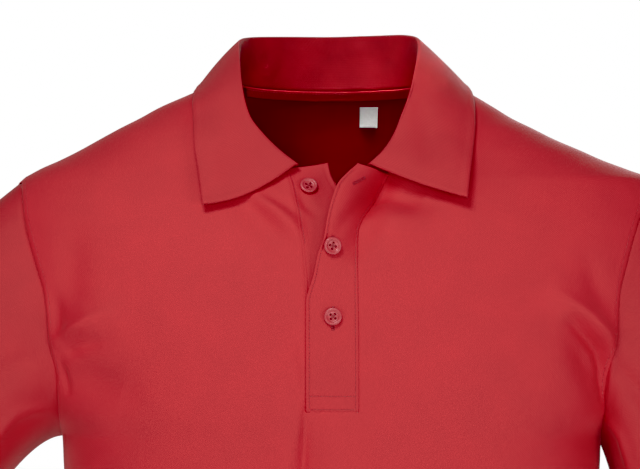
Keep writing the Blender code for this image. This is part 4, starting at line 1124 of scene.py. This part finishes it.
def spin(profile, steps):
    """A surface turned about Z from radius and height pairs, the first and last on the axis."""
    turns = np.arange(steps) / steps * 2 * math.pi
    points = [(0, 0, profile[0][1])]
    for radius, height in profile[1:-1]:
        points += [(radius * math.cos(t), radius * math.sin(t), height) for t in turns]
    points.append((0, 0, profile[-1][1]))
    faces = [(0, 1 + k, 1 + (k + 1) % steps) for k in range(steps)]
    for ring in range(len(profile) - 3):
        a = 1 + ring * steps
        for k in range(steps):
            n = (k + 1) % steps
            faces.append((a + k, a + steps + k, a + steps + n, a + n))
    a = 1 + (len(profile) - 3) * steps
    faces += [(len(points) - 1, a + (k + 1) % steps, a + k) for k in range(steps)]
    return points, faces


def button_piece(name, place, node):
    """A four-hole button with a dished middle and a rounded rim."""
    profile = [(BUTTON_DIAMETER / 2 * r, BUTTON_THICK * h) for r, h in BUTTON_PROFILE]
    mesh = bpy.data.meshes.new(name)
    points, faces = spin(profile, 64)
    mesh.from_pydata(points, [], faces)
    shape = add_object(name, mesh)
    part, sides = spin([(BUTTON_HOLE * r, BUTTON_THICK * h) for r, h in HOLE_PROFILE], 20)
    hole_points, hole_faces = [], []
    for angle in math.pi / 4 + np.arange(4) * math.pi / 2:
        across, up = HOLE_RING * math.cos(angle), HOLE_RING * math.sin(angle)
        start = len(hole_points)
        hole_points += [(x + across, y + up, z) for x, y, z in part]
        hole_faces += [tuple(start + i for i in reversed(side)) for side in sides]
    holes = bpy.data.meshes.new(name + "_holes")
    holes.from_pydata(hole_points, [], hole_faces)
    cutter = add_object(name + "_holes", holes)
    cut = shape.modifiers.new("holes", "BOOLEAN")
    cut.operation = "DIFFERENCE"
    cut.solver = "EXACT"
    cut.object = cutter
    graph = bpy.context.evaluated_depsgraph_get()
    cut_mesh = bpy.data.meshes.new_from_object(shape.evaluated_get(graph))
    shape.modifiers.clear()
    shape.data = cut_mesh
    bpy.data.objects.remove(cutter)
    cut_mesh.transform(place)
    cut_mesh.shade_smooth()
    cut_mesh.set_sharp_from_angle(angle=math.radians(40))
    dress(shape, PLASTIC, node=node)


def place_of(point, way, turn):
    """The matrix that puts a button's middle at a point, looking along a way."""
    z_axis = Vector(way.tolist())
    x_axis = Vector((1, 0, 0))
    x_axis = (x_axis - z_axis * x_axis.dot(z_axis)).normalized()
    place = Matrix((x_axis, z_axis.cross(x_axis), z_axis)).transposed().to_4x4()
    place.translation = Vector(point.tolist())
    return place @ Matrix.Rotation(turn, 4, "Z")


# The buttons, each with two crossed pairs of threads and a shank.
button_thread = Seams("button_thread")
for number, (x, z, kind, spun) in enumerate(BUTTONS, 1):
    grid, ups = (upper, upper_up) if kind == "upper" else (under, under_up)
    point, way = button_seat(grid, ups, x, z)
    place = place_of(point + way * LAP, way, spun)
    button_piece(f"button_{number}_shell", place, f"button_{number}")
    turn = np.array(place.to_3x3())
    middle = np.array(place.translation)
    for k in range(2):
        angle = math.pi / 4 + k * math.pi / 2
        reach = np.array([math.cos(angle), math.sin(angle), 0])
        level = BUTTON_THICK * (0.64 + 0.06 * k)
        for step in (-THREAD_OFF, THREAD_OFF):
            centre = turn @ np.array([-reach[1] * step, reach[0] * step, level]) + middle
            button_thread.bead(centre, turn @ reach, turn[:, 2], *BUTTON_THREAD)
    button_thread.bead(middle - way * 0.0001, turn[:, 0], way, *BUTTON_SHANK)
button_thread.make(THREAD_DARK)


def row_at(grid, z, column):
    """The row of a grid where a column reaches a height."""
    heights = grid[:, column, 2]
    return float(np.interp(-z, -heights, np.arange(len(heights))))


# The placket's topstitching and its closing box.
last = upper.shape[1] - 1
box_top, box_low = (row_at(upper, z, last // 2) for z in BOX_HEIGHTS)
placket = Seams("placket_stitches")
for column in (last - STITCH_COLUMN, STITCH_COLUMN):
    placket.row(upper, upper_up, np.linspace(6, box_low, 400), column, **FINE_STITCH)
for row in (box_top, box_low):
    placket.row(upper, upper_up, row, np.linspace(5, last - 5, 120), **FINE_STITCH)
placket.row(under, under_up, np.linspace(6, 70, 200), STITCH_COLUMN, **FINE_STITCH)
placket.make(THREAD_DARK)


def buttonhole(seams, grid, ups, x, z, angle, length):
    """A worked slot: close bars of thread down both sides and across its ends."""
    point, way = near_point(grid, ups, x, z, 0.0009)
    run = square_to(np.array([math.cos(angle), 0, math.sin(angle)]), way)
    side = np.cross(way, run)
    count = int(length / SIDE_PITCH)
    for k in range(count):
        at = (k + 0.5) / count * length - length / 2
        for edge in (-1, 1):
            centre = point + run * at + side * edge * SLOT_HALF
            seams.bead(centre, side, way, *SIDE_BAR)
    for edge in (-1, 1):
        for k in range(3):
            centre = point + run * edge * (length / 2 + 0.0002 + k * END_PITCH)
            seams.bead(centre, side, way, *END_BAR)


holes = Seams("buttonholes")
for hole in BUTTONHOLES:
    buttonhole(holes, upper, upper_up, *hole)
holes.make(THREAD_DARK)

# Armhole and hem stitching.
body_seams = Seams("body_stitches")
arm_rows = np.linspace(1, len(TOP_SHARES) + len(CHEST_SHARES) - 3, 500)
for grid, face in ((front_grid, -1), (back_grid, 1)):
    ups = outward(grid, (0, face, 0))
    run = run_along(grid, 1)
    width = grid.shape[1] - 1
    numbers = np.arange(width + 1)
    at_left = [np.interp(ARMHOLE_ROW, run[i], numbers) for i in arm_rows.astype(int)]
    at_right = [
        width - np.interp(ARMHOLE_ROW, run[i, -1] - run[i][::-1], numbers) for i in arm_rows.astype(int)
    ]
    for columns in (at_left, at_right):
        body_seams.row(grid, ups, arm_rows, columns, height=0.0003, width=0.00045)
    for distance in HEM_ROWS:
        row = row_at(grid, HEM_Z + distance, 5)
        body_seams.row(grid, ups, row, np.linspace(1, width - 1, 900))
body_seams.make(THREAD)

sleeve_seams = Seams("cuff_stitches")
for _, tube in sleeves.values():
    ups = outward(tube, tube - tube.mean(axis=1, keepdims=True))
    fall = run_along(tube, 0)
    numbers = np.arange(len(tube))
    columns = np.linspace(0, tube.shape[1] - 1, 400)
    for distance in HEM_ROWS:
        nearest = np.rint(columns).astype(int)
        rows = [np.interp(fall[-1, j] - distance, fall[:, j], numbers) for j in nearest]
        sleeve_seams.row(tube, ups, rows, columns)
sleeve_seams.make(THREAD)


def back_inside(x, z, off):
    """A patch on the back's inner side, the given distance off its outer face."""
    grid = stand_off(surface(x, z, 1), 1, 0)
    return grid - outward(grid, (0, 1, 0)) * off


# Inside the neck: the tape, the bare label, and a lighter row of stitches near the tape's top.
x = np.linspace(-TAPE_HALF, TAPE_HALF, 130)
neck = eased(NECK_BACK[:, 0], NECK_BACK[:, 1], np.abs(x))
z = neck + TAPE_RISE - np.linspace(0, TAPE_HEIGHT, 9)[:, None]
strip = back_inside(x + 0 * z, z, BACKING + TAPE_CLOTH)
tape = sheet_piece("neck_tape_cloth", strip, grid_uv(strip), TAPE_CLOTH, to_axis, inner=False)
dress(tape, TWILL, None, "neck_tape")
z, x = np.meshgrid(np.linspace(*LABEL_Z, 14), np.linspace(*LABEL_X, 14), indexing="ij")
patch = back_inside(x, z, BACKING + LABEL_CLOTH)
patch = patch + outward(patch, FORWARD) * (LABEL_LIFT * np.linspace(0, 1, 14)[:, None, None] ** 1.3)
label = sheet_piece("size_label_cloth", patch, grid_uv(patch), LABEL_CLOTH, to_axis, inner=False)
dress(label, LABEL, None, "size_label")

neck_seams = Seams("neck_stitches")
neck_seams.row(strip, outward(strip, FORWARD), 1.2, np.linspace(1, 128, 320), pitch=0.0025)
neck_seams.make(THREAD_LIGHT)

# Floor, light and camera.
floor_mesh = bpy.data.meshes.new("floor")
corners = ((-1, -1), (1, -1), (1, 1), (-1, 1))
corners = [(FLOOR_REACH * x, FLOOR_REACH * y, FLOOR_Z) for x, y in corners]
floor_mesh.from_pydata(corners, [], [(0, 1, 2, 3)])
floor = add_object("floor", floor_mesh)
pale = Nodes("floor_pale")
pale.colour((0.88, 0.88, 0.88), (0.93, 0.93, 0.93), pale.noise(3.0))
pale.set({"Roughness": 0.9, "Emission Color": (1, 1, 1, 1), "Emission Strength": 0.24})
floor_mesh.materials.append(pale.material)

# The world is white to the camera and much weaker as a light.
world = bpy.data.worlds.new("studio")
bpy.context.scene.world = world
world.use_nodes = True
tree = world.node_tree
path = tree.nodes.new("ShaderNodeLightPath")
mix = tree.nodes.new("ShaderNodeMixShader")
tree.links.new(path.outputs["Is Camera Ray"], mix.inputs["Fac"])
seen = tree.nodes.new("ShaderNodeBackground")
for number, (sky, strength) in enumerate(((tree.nodes["Background"], 0.13), (seen, 1.0)), 1):
    sky.inputs["Color"].default_value = (1, 1, 1, 1)
    sky.inputs["Strength"].default_value = strength
    tree.links.new(sky.outputs[0], mix.inputs[number])
tree.links.new(mix.outputs[0], tree.nodes["World Output"].inputs["Surface"])

for name, place, aim, size, power, spread in LIGHTS:
    light = bpy.data.lights.new(name, "AREA")
    light.shape = "RECTANGLE"
    light.size, light.size_y = size
    light.energy = power
    light.spread = math.radians(spread)
    lamp = add_object(name, light)
    lamp.location = place
    lamp.rotation_euler = (Vector(aim) - Vector(place)).to_track_quat("-Z", "Y").to_euler()

view = bpy.data.cameras.new("photo_view")
view.sensor_width = SENSOR_WIDTH
view.lens = FOCAL_PIXELS / PHOTO_WIDTH * SENSOR_WIDTH
view.clip_start, view.clip_end = 0.1, 100.0
camera = add_object("photo_view", view)
camera.location = CAMERA_PLACE
camera.rotation_euler = (math.radians(90), 0, 0)
scene = bpy.context.scene
scene.camera = camera
scene.view_settings.view_transform = "Standard"
scene.view_settings.look = "None"
scene.view_settings.use_curve_mapping = True
curves = scene.view_settings.curve_mapping
for channel, points in CONTRAST.items():
    for point in points:
        curves.curves[channel].points.new(*point)
curves.update()
